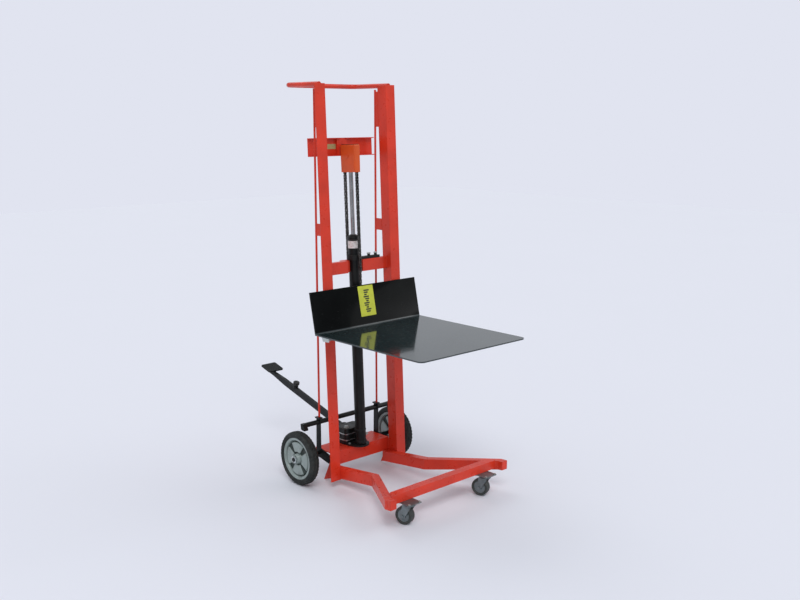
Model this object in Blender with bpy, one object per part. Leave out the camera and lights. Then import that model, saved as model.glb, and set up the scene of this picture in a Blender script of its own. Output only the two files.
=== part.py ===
"""Foot-pump hydraulic platform lift: a mast of two angle-iron uprights on a wheeled base.

A ram pushes a crosshead up the mast. A chain runs over the crosshead's sheave, from a fixed
anchor to the platform carriage, so the platform rises twice as far as the ram.

Metres, +Z up. X is across the machine, -Y is the platform side, +Y is the operator's side.
The dimensions below count y from a datum line on the floor, 18.9 mm behind the mast's foot. The
last step slides everything so that the origin is on the floor in the middle of the outline.
"""

import math

import bmesh
import bpy
from mathutils import Matrix, Vector

# ---------------------------------------------------------------- driving dimensions
GAP = 0.0003                    # clearance where one piece rests on another
MAST_TILT = math.radians(2.5)   # the mast leans back, towards the operator
MAST_FOOT_Y = -0.0189           # where the mast's front plane meets the floor

# uprights: angle irons, web inwards, flange across the front
WEB_X = 0.1775
WALL = 0.005
FLANGE = 0.056
WEB_DEPTH = 0.057
POST_BOTTOM = 0.0345
POST_TOP = 1.843
FOOT_TIP = (0.1250, 0.0085)
FOOT_HEEL = (0.0374, 0.0343)
FOOT_TOP = 0.1327

# handle
HANDLE_X = 0.2036
HANDLE_Z = 1.838
HANDLE_Y = 0.322
HANDLE_RADIUS = 0.011
HANDLE_BEND = 0.045

# truss rods behind the uprights
ROD_X = 0.180
ROD_Y = 0.137
ROD_RADIUS = 0.005
ROD_TOP = 1.820
ROD_BOTTOM = 0.3028
ROD_GUSSET = (1.65, 1.812)
ROD_STANDOFF = (1.165, 1.220)

# fixed crossmember half-way up
MID_BAR = dict(v=(0.029, 0.060), w=(0.990, 1.045), wall=0.004)
MID_BLOCK = dict(half_x=(0.075, 0.060), rear_v=0.092)
MID_OPENING_X = -0.060          # the notch is open this far to the left in front of the cylinder

# deck under the cylinder and pump
DECK_X = 0.1772
DECK_Y = (0.047, 0.172)
DECK_TOP = 0.1465
DECK_SKIRT = 0.0808
DECK_LIP = 0.120
DECK_WALL = 0.005

# base legs: rectangular tube, straight, then flared, then straight again
LEG_WIDTH = 0.034
LEG_WALL = 0.003
LEG_REAR_X = 0.160
LEG_FRONT_X = 0.3445
# one station each: y, underside z, top z
LEG_REAR = (0.0530, 0.0285, 0.0798)
LEG_KINK = (-0.240, 0.0645, 0.1155)
LEG_FLARE_END = (-0.535, 0.0990, 0.1405)
LEG_FRONT = (-0.566, 0.1015, 0.1425)

# front crossbar: rectangular tube between the legs
FRONT_BAR_Y = (-0.528, -0.486)
FRONT_BAR_Z = (0.1030, 0.1425)
FRONT_BAR_WALL = 0.003

# rear axle, wheels and brackets
AXLE_Y = 0.142
AXLE_Z = 0.127
AXLE_RADIUS = 0.0095
AXLE_HALF = 0.334
WHEEL_X = 0.295
WHEEL_RADIUS = 0.127
TYRE_HALF = 0.0240
RIM_RADIUS = 0.0995
BRACKET_X = (0.1778, 0.1828)
BRACKET_TOP = 0.2975

# foot brake: a cross shaft with a shoe over each tyre
BRAKE_Z = 0.278
BRAKE_RADIUS = 0.0115
BRAKE_HALF = 0.266

# hydraulic cylinder and ram, on an axis parallel to the mast
RAM_V = 0.059
TUBE_RADIUS = 0.0255
BORE_RADIUS = 0.0215
TUBE_W = (0.1592, 1.137)
GLAND_TOP = 1.160
RAM_RADIUS = 0.010
RAM_W = (0.8003, 1.4647)
PISTON_W = (0.770, 0.8000)

# crosshead: sheave housing and cross channel
SHEAVE_W = 1.522
CHAIN_PITCH_RADIUS = 0.042
CHAIN_HALF_DEPTH = 0.0055
CHAIN_HALF_WIDTH = 0.0065
HOUSING_W = (1.450, 1.575)
HOUSING_HALF_X = 0.018
CHANNEL_W = (1.525, 1.608)
CHANNEL_V = (0.1080, 0.1290)
CHANNEL_HALF_X = 0.190

# chain runs (mast heights at rest)
FRONT_LOOP_END = 0.985
REAR_LOOP_END = 1.020
FRONT_TAIL = (0.705, 1.315)
REAR_TAIL = (1.000, 1.235)

# platform and carriage
PLATFORM_HALF_X = 0.318
PLATFORM_TOP = 0.750
PLATFORM_REAR_Y = -0.026
PLATFORM_DEPTH = 0.672
PLATE = 0.006
BACK_HEIGHT = 0.187
BACK_LEAN = math.radians(11.9)
CORNER_RADIUS = 0.025
SIDE_X = (0.2390, 0.2445)
ROLLER_RADIUS = 0.0190
ROLLER_X = (0.1990, 0.2350)
ROLLER_UPPER_W = 0.895
ROLLER_LOWER_W = 0.722

# front casters
CASTER_X = 0.236
CASTER_Y = -0.546
CASTER_WHEEL_RADIUS = 0.040
CASTER_TRAIL = 0.022
CASTER_HEADING = math.radians(17.0)

# foot pump and pedal
BASE_Z = (0.1468, 0.1548)
RESERVOIR_TOP = 0.225
PIVOT_Y = 0.190
PIVOT_Z = 0.207
PEDAL_RISE = math.radians(15.4)
PEDAL_LENGTH = 0.608
KNOB_Y = 0.392                  # release button, along the pedal from its pin
PUMP_ROD_Y = 0.220

PAINT = {
    "red_paint": ((0.62, 0.065, 0.025), 0.35, 0.0),
    "orange_paint": ((0.75, 0.12, 0.025), 0.35, 0.0),
    "black_paint": ((0.012, 0.013, 0.014), 0.40, 0.0),
    "gloss_black": ((0.010, 0.011, 0.012), 0.15, 0.0),
    "bright_steel": ((0.55, 0.56, 0.57), 0.25, 1.0),
    "chain_steel": ((0.06, 0.06, 0.06), 0.45, 1.0),
    "zinc": ((0.60, 0.64, 0.66), 0.35, 1.0),
    "tyre_rubber": ((0.020, 0.024, 0.022), 0.80, 0.0),
    "caster_rubber": ((0.050, 0.055, 0.052), 0.65, 0.0),
    "wheel_grey": ((0.55, 0.60, 0.58), 0.45, 0.0),
}


# ---------------------------------------------------------------- mesh building blocks
def outward(bm):
    """Point every face out and return the mesh."""
    bmesh.ops.recalc_face_normals(bm, faces=bm.faces)
    return bm


def ring_faces(bm, ring_a, ring_b):
    """Join two closed rings of the same length with quads, or with triangles at a pole."""
    count = max(len(ring_a), len(ring_b))
    for i in range(count):
        j = (i + 1) % count
        corners = [ring_a[i % len(ring_a)], ring_a[j % len(ring_a)],
                   ring_b[j % len(ring_b)], ring_b[i % len(ring_b)]]
        unique = list(dict.fromkeys(corners))
        bm.faces.new(unique)


def loft(rings, closed=False):
    """A solid through rings of points. An open loft gets a cap on its first and last ring."""
    bm = bmesh.new()
    verts = [[bm.verts.new(p) for p in ring] for ring in rings]
    for a, b in zip(verts, verts[1:]):
        ring_faces(bm, a, b)
    if closed:
        ring_faces(bm, verts[-1], verts[0])
    else:
        for end in (verts[0], verts[-1]):
            if len(end) > 2:
                bm.faces.new(end)
    return outward(bm)


def place_on(axis, a, b, h):
    """A point from two plane coordinates and a height along X, Y or Z, in cyclic order."""
    if axis == "X":
        return Vector((h, a, b))
    if axis == "Y":
        return Vector((a, h, b))
    return Vector((a, b, h))


def prism(outline, axis, low, high):
    """An outline extruded along an axis. Outlines are (y, z) on X, (x, z) on Y, (x, y) on Z."""
    return loft([[place_on(axis, a, b, h) for a, b in outline] for h in (low, high)])


def box(x, y, z):
    """A block from three (low, high) pairs."""
    return prism([(x[0], y[0]), (x[1], y[0]), (x[1], y[1]), (x[0], y[1])], "Z", *z)


def circle(axis, centre, radius, h, segments):
    """A ring of points around centre, at height h along the axis."""
    turn = 2 * math.pi / segments
    return [place_on(axis, centre[0] + radius * math.cos(i * turn),
                     centre[1] + radius * math.sin(i * turn), h) for i in range(segments)]


def lathe(profile, axis, centre, segments, hollow=True):
    """Turn a profile of (radius, height) about an axis. A radius of zero makes a pole."""
    rings = []
    for radius, h in profile:
        if radius == 0:
            rings.append([place_on(axis, centre[0], centre[1], h)])
        else:
            rings.append(circle(axis, centre, radius, h, segments))
    return loft(rings, closed=hollow)


def cylinder(axis, centre, radius, low, high, segments=24):
    return lathe([(0, low), (radius, low), (radius, high), (0, high)],
                 axis, centre, segments, hollow=False)


def tube(axis, centre, inner, outer, low, high, segments=24):
    return lathe([(inner, low), (outer, low), (outer, high), (inner, high)],
                 axis, centre, segments)


def sweep(path, section, side=Vector((1, 0, 0))):
    """Carry a section of (side, normal) offsets along a path that stays square to side."""
    rings = []
    for i, point in enumerate(path):
        ahead = path[min(i + 1, len(path) - 1)] - path[max(i - 1, 0)]
        normal = side.cross(ahead).normalized()
        rings.append([point + side * a + normal * b for a, b in section])
    return loft(rings)


def arc(centre, radius, start, stop, steps):
    """Points on an arc in a plane, angles in radians, both ends included."""
    return [(centre[0] + radius * math.cos(start + (stop - start) * i / steps),
             centre[1] + radius * math.sin(start + (stop - start) * i / steps))
            for i in range(steps + 1)]


def rounded_rectangle(half_a, half_b, radius, centre=(0, 0), steps=4):
    """A rectangle outline with round corners, anticlockwise."""
    outline = []
    for quarter, (sa, sb) in enumerate(((1, 1), (-1, 1), (-1, -1), (1, -1))):
        corner = (centre[0] + sa * (half_a - radius), centre[1] + sb * (half_b - radius))
        start = quarter * math.pi / 2
        outline += arc(corner, radius, start, start + math.pi / 2, steps)
    return outline


def boolean(bm, tool, operation):
    """Combine two closed meshes and return the result. Both inputs are used up."""
    pair = []
    for mesh_in in (bm, tool):
        mesh = bpy.data.meshes.new("boolean_input")
        mesh_in.to_mesh(mesh)
        mesh_in.free()
        obj = bpy.data.objects.new("boolean_input", mesh)
        bpy.context.scene.collection.objects.link(obj)
        pair.append(obj)
    modifier = pair[0].modifiers.new("boolean", "BOOLEAN")
    modifier.operation = operation
    modifier.solver = "EXACT"
    modifier.object = pair[1]
    result = bmesh.new()
    result.from_object(pair[0], bpy.context.evaluated_depsgraph_get())
    for obj in pair:
        mesh = obj.data
        bpy.data.objects.remove(obj)
        bpy.data.meshes.remove(mesh)
    return result


def cut(bm, *tools):
    for tool in tools:
        bm = boolean(bm, tool, "DIFFERENCE")
    return bm


def fuse(bm, *tools):
    for tool in tools:
        bm = boolean(bm, tool, "UNION")
    return bm


def mirrored(bm, side):
    """Flip a right-hand mesh to the left side when side is -1."""
    if side < 0:
        bmesh.ops.scale(bm, vec=(-1, 1, 1), verts=bm.verts)
        bmesh.ops.reverse_faces(bm, faces=bm.faces)
    return bm


# ---------------------------------------------------------------- scene helpers
def clear_scene():
    for obj in list(bpy.data.objects):
        bpy.data.objects.remove(obj)


def make_materials():
    made = {}
    for name, (colour, roughness, metallic) in PAINT.items():
        material = bpy.data.materials.new(name)
        material.use_nodes = True
        shader = material.node_tree.nodes["Principled BSDF"]
        shader.inputs["Base Color"].default_value = (*colour, 1.0)
        shader.inputs["Roughness"].default_value = roughness
        shader.inputs["Metallic"].default_value = metallic
        made[name] = material
    return made


def frame_empty(name, location, rotation=(0, 0, 0), parent=None):
    """An empty that holds the axis of one moving group or of the tilted mast."""
    empty = bpy.data.objects.new(name, None)
    bpy.context.scene.collection.objects.link(empty)
    empty.location = location
    empty.rotation_euler = rotation
    empty.parent = parent
    return empty


def add(name, bm, material, parent=None, origin=(0, 0, 0)):
    """Make a named object from a mesh given in its parent's frame, with its own origin."""
    bmesh.ops.translate(bm, verts=bm.verts, vec=-Vector(origin))
    mesh = bpy.data.meshes.new(name)
    bm.to_mesh(mesh)
    bm.free()
    mesh.shade_smooth()
    mesh.set_sharp_from_angle(angle=math.radians(35))
    mesh.materials.append(MATERIALS[material])
    obj = bpy.data.objects.new(name, mesh)
    bpy.context.scene.collection.objects.link(obj)
    obj.parent = parent
    obj.location = origin
    return obj


def mast_point(v, w):
    """World (y, z) of a point v behind the mast's front plane and w up along it."""
    sine, cosine = math.sin(MAST_TILT), math.cos(MAST_TILT)
    return (MAST_FOOT_Y + v * cosine + w * sine, w * cosine - v * sine)


def web_rear_y(z):
    """World y of the web's rear edge at height z."""
    v = WEB_DEPTH
    return MAST_FOOT_Y + v / math.cos(MAST_TILT) + z * math.tan(MAST_TILT)


def centre_on_floor():
    """Slide the whole machine along Y until its bounding box is centred on the origin."""
    bpy.context.view_layer.update()
    ys = [(obj.matrix_world @ v.co).y for obj in bpy.data.objects if obj.type == "MESH"
          for v in obj.data.vertices]
    middle = (min(ys) + max(ys)) / 2
    for obj in bpy.data.objects:
        if obj.parent is None:
            obj.location.y -= middle


SIDES = (("left", -1), ("right", 1))


# ---------------------------------------------------------------- fixed frame
def build_uprights(mast):
    outline = [(0, POST_BOTTOM), (WALL, POST_BOTTOM), FOOT_HEEL, FOOT_TIP,
               (WEB_DEPTH, FOOT_TOP), (WEB_DEPTH, POST_TOP), (WALL, POST_TOP), (0, POST_TOP)]
    for name, side in SIDES:
        bm = prism(outline, "X", WEB_X, WEB_X + WALL)
        outer = max(bm.faces, key=lambda f: f.calc_center_median().x)
        corners = {(round(v.co.y, 5), round(v.co.z, 5)): v for v in outer.verts}
        strip, _ = bmesh.utils.face_split(outer, corners[(WALL, round(POST_BOTTOM, 5))],
                                          corners[(WALL, POST_TOP)])
        if strip.calc_center_median().y > WALL:
            strip = next(f for f in bm.faces if f.calc_center_median().x > WEB_X + 0.99 * WALL
                         and f.calc_center_median().y < WALL)
        grown = bmesh.ops.extrude_face_region(bm, geom=[strip])
        moved = [v for v in grown["geom"] if isinstance(v, bmesh.types.BMVert)]
        bmesh.ops.translate(bm, verts=moved, vec=(FLANGE - WALL, 0, 0))
        bmesh.ops.delete(bm, geom=[strip], context="FACES_ONLY")
        add("upright_" + name, mirrored(outward(bm), side), "red_paint", mast)


def handle_path():
    """The right half of the U, from the mast to the middle of the rear bar, then mirrored."""
    start_y = mast_point(WALL + 2 * GAP, POST_TOP)[0] + 0.001
    corner = (HANDLE_X - HANDLE_BEND, HANDLE_Y - HANDLE_BEND)
    half = [(HANDLE_X, start_y)] + arc(corner, HANDLE_BEND, 0, math.pi / 2, 8)
    return [Vector((x, y, HANDLE_Z)) for x, y in half + [(-x, y) for x, y in reversed(half)]]


def build_handle():
    section = [(HANDLE_RADIUS * math.cos(t), HANDLE_RADIUS * math.sin(t))
               for t in (2 * math.pi * i / 14 for i in range(14))]
    bm = sweep(handle_path(), section, side=Vector((0, 0, 1)))
    add("handle", bm, "red_paint", None, (0, HANDLE_Y, HANDLE_Z))


def build_truss_rods():
    plate = (BRACKET_X[0] + 0.0002, BRACKET_X[1] - 0.0002)
    for name, side in SIDES:
        bm = cylinder("Z", (ROD_X, ROD_Y), ROD_RADIUS, ROD_BOTTOM, ROD_TOP, 14)
        for low, high in (ROD_GUSSET, ROD_STANDOFF):
            outline = [(web_rear_y(low) + 2 * GAP, low), (ROD_Y, low),
                       (ROD_Y, high), (web_rear_y(high) + 2 * GAP, high)]
            bm = fuse(bm, prism(outline, "X", *plate))
        add("truss_rod_" + name, mirrored(bm, side), "red_paint", None,
            (side * ROD_X, ROD_Y, ROD_BOTTOM))


def build_mid_crossmember(mast):
    """A hollow bar whose solid middle reaches back round the cylinder, open to the front."""
    v, w, wall = MID_BAR["v"], MID_BAR["w"], MID_BAR["wall"]
    half = WEB_X - GAP
    wide, narrow = MID_BLOCK["half_x"]
    rear = MID_BLOCK["rear_v"]
    outline = [(-half, v[0]), (half, v[0]), (half, v[1]), (wide, v[1]), (narrow, rear),
               (-narrow, rear), (-wide, v[1]), (-half, v[1])]
    notch_radius = TUBE_RADIUS + 0.001
    notch = arc((0, RAM_V), notch_radius, 0, math.pi, 12)
    notch += [(-notch_radius, v[0] - 0.01), (notch_radius, v[0] - 0.01)]
    bm = cut(prism(outline, "Z", *w), prism(notch, "Z", w[0] - 0.01, w[1] + 0.01),
             box((MID_OPENING_X, 0), (v[0] - 0.01, RAM_V), (w[0] - 0.01, w[1] + 0.01)))
    for _, side in SIDES:
        x = sorted((side * (wide + 0.005), side * (half + 0.01)))
        bm = cut(bm, box(x, (v[0] + wall, v[1] - wall), (w[0] + wall, w[1] - wall)))
    add("mid_crossmember", bm, "red_paint", mast, (0, v[1], w[0]))


def build_deck():
    front, rear = DECK_Y
    outline = [(front, DECK_SKIRT), (front + DECK_WALL, DECK_SKIRT),
               (front + DECK_WALL, DECK_TOP - DECK_WALL), (rear - DECK_WALL, DECK_TOP - DECK_WALL),
               (rear - DECK_WALL, DECK_LIP), (rear, DECK_LIP), (rear, DECK_TOP), (front, DECK_TOP)]
    add("deck_plate", prism(outline, "X", -DECK_X, DECK_X), "red_paint", None, (0, front, DECK_TOP))


def leg_rings(inset):
    """Rectangles across the leg at its four stations, each mitred where the leg bends."""
    stations = (LEG_REAR, LEG_KINK, LEG_FLARE_END, LEG_FRONT)
    centres = (LEG_REAR_X, LEG_REAR_X, LEG_FRONT_X, LEG_FRONT_X)
    flare = math.atan2(LEG_FRONT_X - LEG_REAR_X, LEG_KINK[0] - LEG_FLARE_END[0])
    mitre = math.tan(flare / 2)
    shifts = (0, mitre, mitre, 0)
    half = LEG_WIDTH / 2 - inset
    rings = []
    for (y, low, high), x, shift in zip(stations, centres, shifts):
        rings.append([Vector((x + sx * half, y + sx * half * shift, z))
                      for sx, z in ((-1, low + inset), (1, low + inset),
                                    (1, high - inset), (-1, high - inset))])
    return rings


def build_legs():
    for name, side in SIDES:
        bm = bmesh.new()
        shells = [[[bm.verts.new(p) for p in ring] for ring in leg_rings(inset)]
                  for inset in (0, LEG_WALL)]
        for rings in shells:
            for a, b in zip(rings, rings[1:]):
                ring_faces(bm, a, b)
        for end in (0, -1):
            ring_faces(bm, shells[0][end], shells[1][end])
        add("base_leg_" + name, mirrored(outward(bm), side), "red_paint", None,
            (side * LEG_REAR_X, LEG_REAR[0], LEG_REAR[1]))


def leg_inner_x(y):
    """x of the leg's inner face at y, in the flared stretch and in front of it."""
    outer_rings = leg_rings(0)
    inner_start, inner_end = outer_rings[1][0], outer_rings[2][0]
    if y < inner_end.y:
        return inner_end.x
    share = (y - inner_start.y) / (inner_end.y - inner_start.y)
    return inner_start.x + share * (inner_end.x - inner_start.x)


def build_front_crossbar():
    (front, rear), z, wall = FRONT_BAR_Y, FRONT_BAR_Z, FRONT_BAR_WALL
    right = [(leg_inner_x(y) - 2 * GAP, y) for y in (front, rear)]
    outline = right + [(-x, y) for x, y in reversed(right)]
    hollow = box((-0.5, 0.5), (front + wall, rear - wall), (z[0] + wall, z[1] - wall))
    bm = cut(prism(outline, "Z", *z), hollow)
    add("front_crossbar", bm, "red_paint", None, (0, (front + rear) / 2, z[0]))


# ---------------------------------------------------------------- axle, brackets and wheels
def build_axle_brackets():
    arm = [(0.127, BRACKET_TOP), (0.127, 0.152), (0.0475, 0.1290), (0.0660, 0.0900),
           (0.132, 0.1040), (0.150, 0.1040), (0.160, 0.116), (0.157, BRACKET_TOP)]
    for name, side in SIDES:
        bm = prism(arm, "X", *BRACKET_X)
        tab = box((0.1695, 0.1905), (0.124, 0.158), (BRACKET_TOP - 0.001, BRACKET_TOP + 0.0045))
        bm = fuse(bm, tab)
        bm = cut(bm, cylinder("X", (AXLE_Y, AXLE_Z), AXLE_RADIUS + GAP, 0.16, 0.20),
                 cylinder("X", (AXLE_Y, BRAKE_Z), BRAKE_RADIUS + GAP, 0.16, 0.20))
        add("axle_bracket_" + name, mirrored(bm, side), "black_paint", None,
            (side * BRACKET_X[0], AXLE_Y, AXLE_Z))


def build_rear_axle():
    bm = cylinder("X", (AXLE_Y, AXLE_Z), AXLE_RADIUS, -AXLE_HALF, AXLE_HALF, 24)
    add("rear_axle", bm, "black_paint", None, (0, AXLE_Y, AXLE_Z))
    for name, side in SIDES:
        ring = tube("X", (AXLE_Y, AXLE_Z), AXLE_RADIUS + GAP, 0.0175, 0.3230, 0.3310)
        add("axle_collar_" + name, mirrored(ring, side), "zinc", None,
            (side * 0.327, AXLE_Y, AXLE_Z))


def build_rear_wheels():
    tyre_half = [(RIM_RADIUS + GAP, 0.0185), (0.1030, 0.0225), (0.1120, TYRE_HALF),
                 (0.1215, 0.0205), (0.1262, 0.0135), (WHEEL_RADIUS, 0.0050)]
    hub_half = [(AXLE_RADIUS + GAP, 0.0270), (0.0215, 0.0270), (0.0230, 0.0120),
                (0.0800, 0.0050), (0.0890, 0.0180), (RIM_RADIUS, 0.0180)]
    for name, side in SIDES:
        hinge = frame_empty("rear_wheel_axis_" + name, (side * WHEEL_X, AXLE_Y, AXLE_Z))
        for part, half, material in (("tyre", tyre_half, "tyre_rubber"),
                                     ("wheel_hub", hub_half, "wheel_grey")):
            profile = half + [(r, -h) for r, h in reversed(half)]
            bm = lathe(profile, "X", (0, 0), 40)
            add("rear_" + part + "_" + name, bm, material, hinge)


def build_brake():
    shoe = [(0.133, 0.2880), (0.151, 0.2880), (0.1490, 0.2620), (0.1380, 0.2578),
            (0.1210, 0.2575), (0.1210, 0.2640)]
    bm = cylinder("X", (AXLE_Y, BRAKE_Z), BRAKE_RADIUS, -BRAKE_HALF, BRAKE_HALF, 20)
    for _, side in SIDES:
        low, high = sorted((side * 0.2580, side * 0.2800))
        bm = fuse(bm, prism(shoe, "X", low, high))
    add("brake_bar", bm, "black_paint", None, (0, AXLE_Y, BRAKE_Z))


# ---------------------------------------------------------------- cylinder, pump and pedal
def build_cylinder(mast):
    axis = (0, RAM_V)
    low, high = TUBE_W
    bore = [(0, low), (TUBE_RADIUS, low), (TUBE_RADIUS, high), (BORE_RADIUS, high),
            (BORE_RADIUS, low + 0.010), (0, low + 0.010)]
    add("cylinder_tube", lathe(bore, "Z", axis, 32, hollow=False), "black_paint", mast,
        (0, RAM_V, low))
    gland = [(RAM_RADIUS + GAP, high + GAP), (TUBE_RADIUS + 0.0015, high + GAP),
             (TUBE_RADIUS + 0.0015, GLAND_TOP - 0.004), (0.0220, GLAND_TOP),
             (RAM_RADIUS + GAP, GLAND_TOP)]
    add("cylinder_gland", lathe(gland, "Z", axis, 32), "black_paint", mast, (0, RAM_V, high))

    base = MID_BAR["w"][1] + GAP
    collar = cylinder("Z", axis, 0.0340, base, base + 0.024, 32)
    ear = box((0.020, 0.140), (RAM_V - 0.023, RAM_V + 0.003), (base, base + 0.012))
    studs = [cylinder("Z", (x, RAM_V - 0.010), 0.0070, base + 0.006, base + 0.021, 12)
             for x in (0.082, 0.124)]
    bm = cut(fuse(collar, ear, *studs),
             cylinder("Z", axis, TUBE_RADIUS + GAP, base - 0.01, base + 0.04, 32))
    add("cylinder_clamp", bm, "black_paint", mast, (0, RAM_V, base))


def build_pump():
    foot = [(-0.055, 0.1715), (-0.055, 0.070)]
    foot += arc((0, 0.058), 0.048, math.pi, 2 * math.pi, 12) + [(0.055, 0.070), (0.055, 0.1715)]
    body = prism(rounded_rectangle(0.060, 0.0425, 0.014, (0, 0.1295)), "Z",
                 BASE_Z[0] + 0.001, RESERVOIR_TOP)
    body = fuse(body, prism(foot, "Z", *BASE_Z))
    ear_outline = [(0.160, 0.184), (0.178, 0.182)]
    ear_outline += arc((PIVOT_Y, PIVOT_Z), 0.0150, -math.pi / 3, math.pi / 2, 6)
    ear_outline += [(0.160, PIVOT_Z + 0.0150)]
    pivot = (PIVOT_Y, PIVOT_Z)
    for _, side in SIDES:
        inner, outer = sorted((side * 0.0135, side * 0.0200))
        body = fuse(body, prism(ear_outline, "X", inner, outer))
    body = cut(body, cylinder("X", pivot, 0.0063, -0.03, 0.03),
               box((-0.0135, 0.0135), (0.1695, 0.20), (0.184, 0.24)))
    add("pump_reservoir", body, "black_paint", None, (0, 0.13, BASE_Z[0]))

    add("pedal_pin", cylinder("X", pivot, 0.0060, -0.0240, 0.0240, 20), "zinc", None, (0, *pivot))

    block = box((-0.015, 0.015), (0.1723, 0.2370), (BASE_Z[0], 0.1660))
    barrel = cylinder("Z", (0, PUMP_ROD_Y), 0.0135, 0.160, 0.1790, 24)
    bore = cylinder("Z", (0, PUMP_ROD_Y), 0.0063, 0.1520, 0.20, 20)
    add("pump_barrel", cut(fuse(block, barrel), bore), "black_paint", None,
        (0, PUMP_ROD_Y, BASE_Z[0]))
    rod = cylinder("Z", (0, PUMP_ROD_Y), 0.0060, 0.1655, PIVOT_Z - 0.0063, 20)
    add("pump_piston", rod, "bright_steel", None, (0, PUMP_ROD_Y, 0.1655))


def build_pedal():
    pivot = frame_empty("pedal_axis", (0, PIVOT_Y, PIVOT_Z), (PEDAL_RISE, 0, 0))
    half = [(-0.004, 0.012), (0.060, 0.012), (0.110, 0.016), (0.480, 0.016),
            (PEDAL_LENGTH - 0.03, 0.0095), (PEDAL_LENGTH + 0.018, 0.0095)]
    outline = [(y, -depth) for y, depth in half] + list(reversed(half))
    arm = prism(outline, "X", -0.008, 0.008)
    neck = box((-0.0065, 0.0065), (PEDAL_LENGTH - 0.012, PEDAL_LENGTH + 0.012), (0.0090, 0.0185))
    socket = cylinder("Z", (0, KNOB_Y), 0.0130, 0.0090, 0.0210, 20)
    arm = fuse(arm, cylinder("X", (0, 0), 0.0160, -0.0128, 0.0128, 24), neck, socket)
    arm = cut(arm, cylinder("X", (0, 0), 0.0063, -0.03, 0.03, 20),
              cylinder("Z", (0, KNOB_Y), 0.0083, 0.0100, 0.03, 20))
    add("pedal_arm", arm, "black_paint", pivot)

    pad = prism(rounded_rectangle(0.045, 0.040, 0.008, (0, PEDAL_LENGTH)), "Z", 0.0188, 0.0268)
    add("pedal_pad", pad, "black_paint", pivot, (0, PEDAL_LENGTH, 0.0188))

    button = lathe([(0, 0.0185), (0.0080, 0.0185), (0.0080, 0.0300), (0.0165, 0.0310),
                    (0.0165, 0.0430), (0.0120, 0.0470), (0, 0.0470)],
                   "Z", (0, KNOB_Y), 20, hollow=False)
    add("release_button", button, "black_paint", pivot, (0, KNOB_Y, 0.0185))


# ---------------------------------------------------------------- ram, crosshead and chain
def build_ram(mast):
    head = frame_empty("ram_axis", (0, RAM_V, SHEAVE_W), parent=mast)
    down = -SHEAVE_W
    rod = cylinder("Z", (0, 0), RAM_RADIUS, RAM_W[0] + down, RAM_W[1] + down, 24)
    add("ram_rod", rod, "bright_steel", head)
    piston = cylinder("Z", (0, 0), BORE_RADIUS - GAP, PISTON_W[0] + down, PISTON_W[1] + down, 24)
    add("ram_piston", piston, "bright_steel", head)

    low, high = HOUSING_W[0] + down, HOUSING_W[1] + down
    rings = []
    for half_v, z in ((0.0525, low), (0.0550, high - 0.006), (0.0530, high)):
        inset = 0.0 if z < high else 0.002
        outline = rounded_rectangle(HOUSING_HALF_X - inset, half_v, 0.011, steps=5)
        rings.append([Vector((x, y, z)) for x, y in outline])
    bridge_top = -0.0515
    cavity = [(-0.0485, low - 0.01), (-0.0165, low - 0.01), (-0.0165, bridge_top),
              (0.0165, bridge_top), (0.0165, low - 0.01), (0.0485, low - 0.01),
              (0.0485, 0.0488), (-0.0485, 0.0488)]
    bm = cut(loft(rings), prism(cavity, "X", -0.0125, 0.0125),
             cylinder("Z", (0, 0), RAM_RADIUS + GAP, low - 0.01, RAM_W[1] + down + GAP),
             cylinder("X", (0, 0), 0.0063, -0.03, 0.03))
    add("sheave_housing", bm, "orange_paint", head)
    add("sheave_pin", cylinder("X", (0, 0), 0.0060, -0.0215, 0.0215, 20), "zinc", head)

    groove = 0.0360
    rim = [(0.0064, 0.0085), (groove, 0.0085), (groove, 0.0068), (groove - 0.0005, 0.0060)]
    profile = rim + [(r, -h) for r, h in reversed(rim)]
    add("chain_sheave", lathe(profile, "X", (0, 0), 36), "bright_steel", head)
    return head


def build_crosshead_channel(head):
    wall = 0.004
    low, high = CHANNEL_W[0] - SHEAVE_W, CHANNEL_W[1] - SHEAVE_W
    front, rear = CHANNEL_V[0] - RAM_V, CHANNEL_V[1] - RAM_V
    channel = prism([(front, low), (rear, low), (rear, high), (front, high), (front, high - wall),
                     (rear - wall, high - wall), (rear - wall, low + wall), (front, low + wall)],
                    "X", -CHANNEL_HALF_X, CHANNEL_HALF_X)
    slot_half = HOUSING_HALF_X + 2 * GAP
    slot_rear = 0.0550 + GAP
    slot = box((-slot_half, slot_half), (front - 0.01, slot_rear), (low - 0.01, high + 0.01))
    filler = box((-0.030, 0.030), (slot_rear, rear - wall + 0.001), (low + 0.001, high - 0.001))
    channel = fuse(cut(channel, slot), filler)
    add("crosshead_channel", channel, "red_paint", head, (0, rear, low))


def build_chain_loop(head):
    """The chain that stays with the crosshead: an outer channel of link plates."""
    d, x, t = CHAIN_HALF_DEPTH, CHAIN_HALF_WIDTH, 0.0018
    section = [(-x, -d), (x, -d), (x, d), (x - t, d), (x - t, t - d),
               (t - x, t - d), (t - x, d), (-x, d)]
    over = arc((0, 0), CHAIN_PITCH_RADIUS, math.pi, 0, 16)
    path = [(-CHAIN_PITCH_RADIUS, FRONT_LOOP_END - SHEAVE_W)] + over
    path += [(CHAIN_PITCH_RADIUS, REAR_LOOP_END - SHEAVE_W)]
    bm = sweep([Vector((0, y, z)) for y, z in path], section)
    add("chain_loop", bm, "chain_steel", head)


def chain_tail(name, parent, centre_v, outward_sign, span, origin):
    """A chain tail: the inner links, running inside the loop's channel."""
    half = CHAIN_HALF_WIDTH - 0.0023
    edges = sorted((centre_v - outward_sign * 0.0030, centre_v + outward_sign * 0.0060))
    add(name, box((-half, half), edges, span), "chain_steel", parent, origin)


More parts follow.
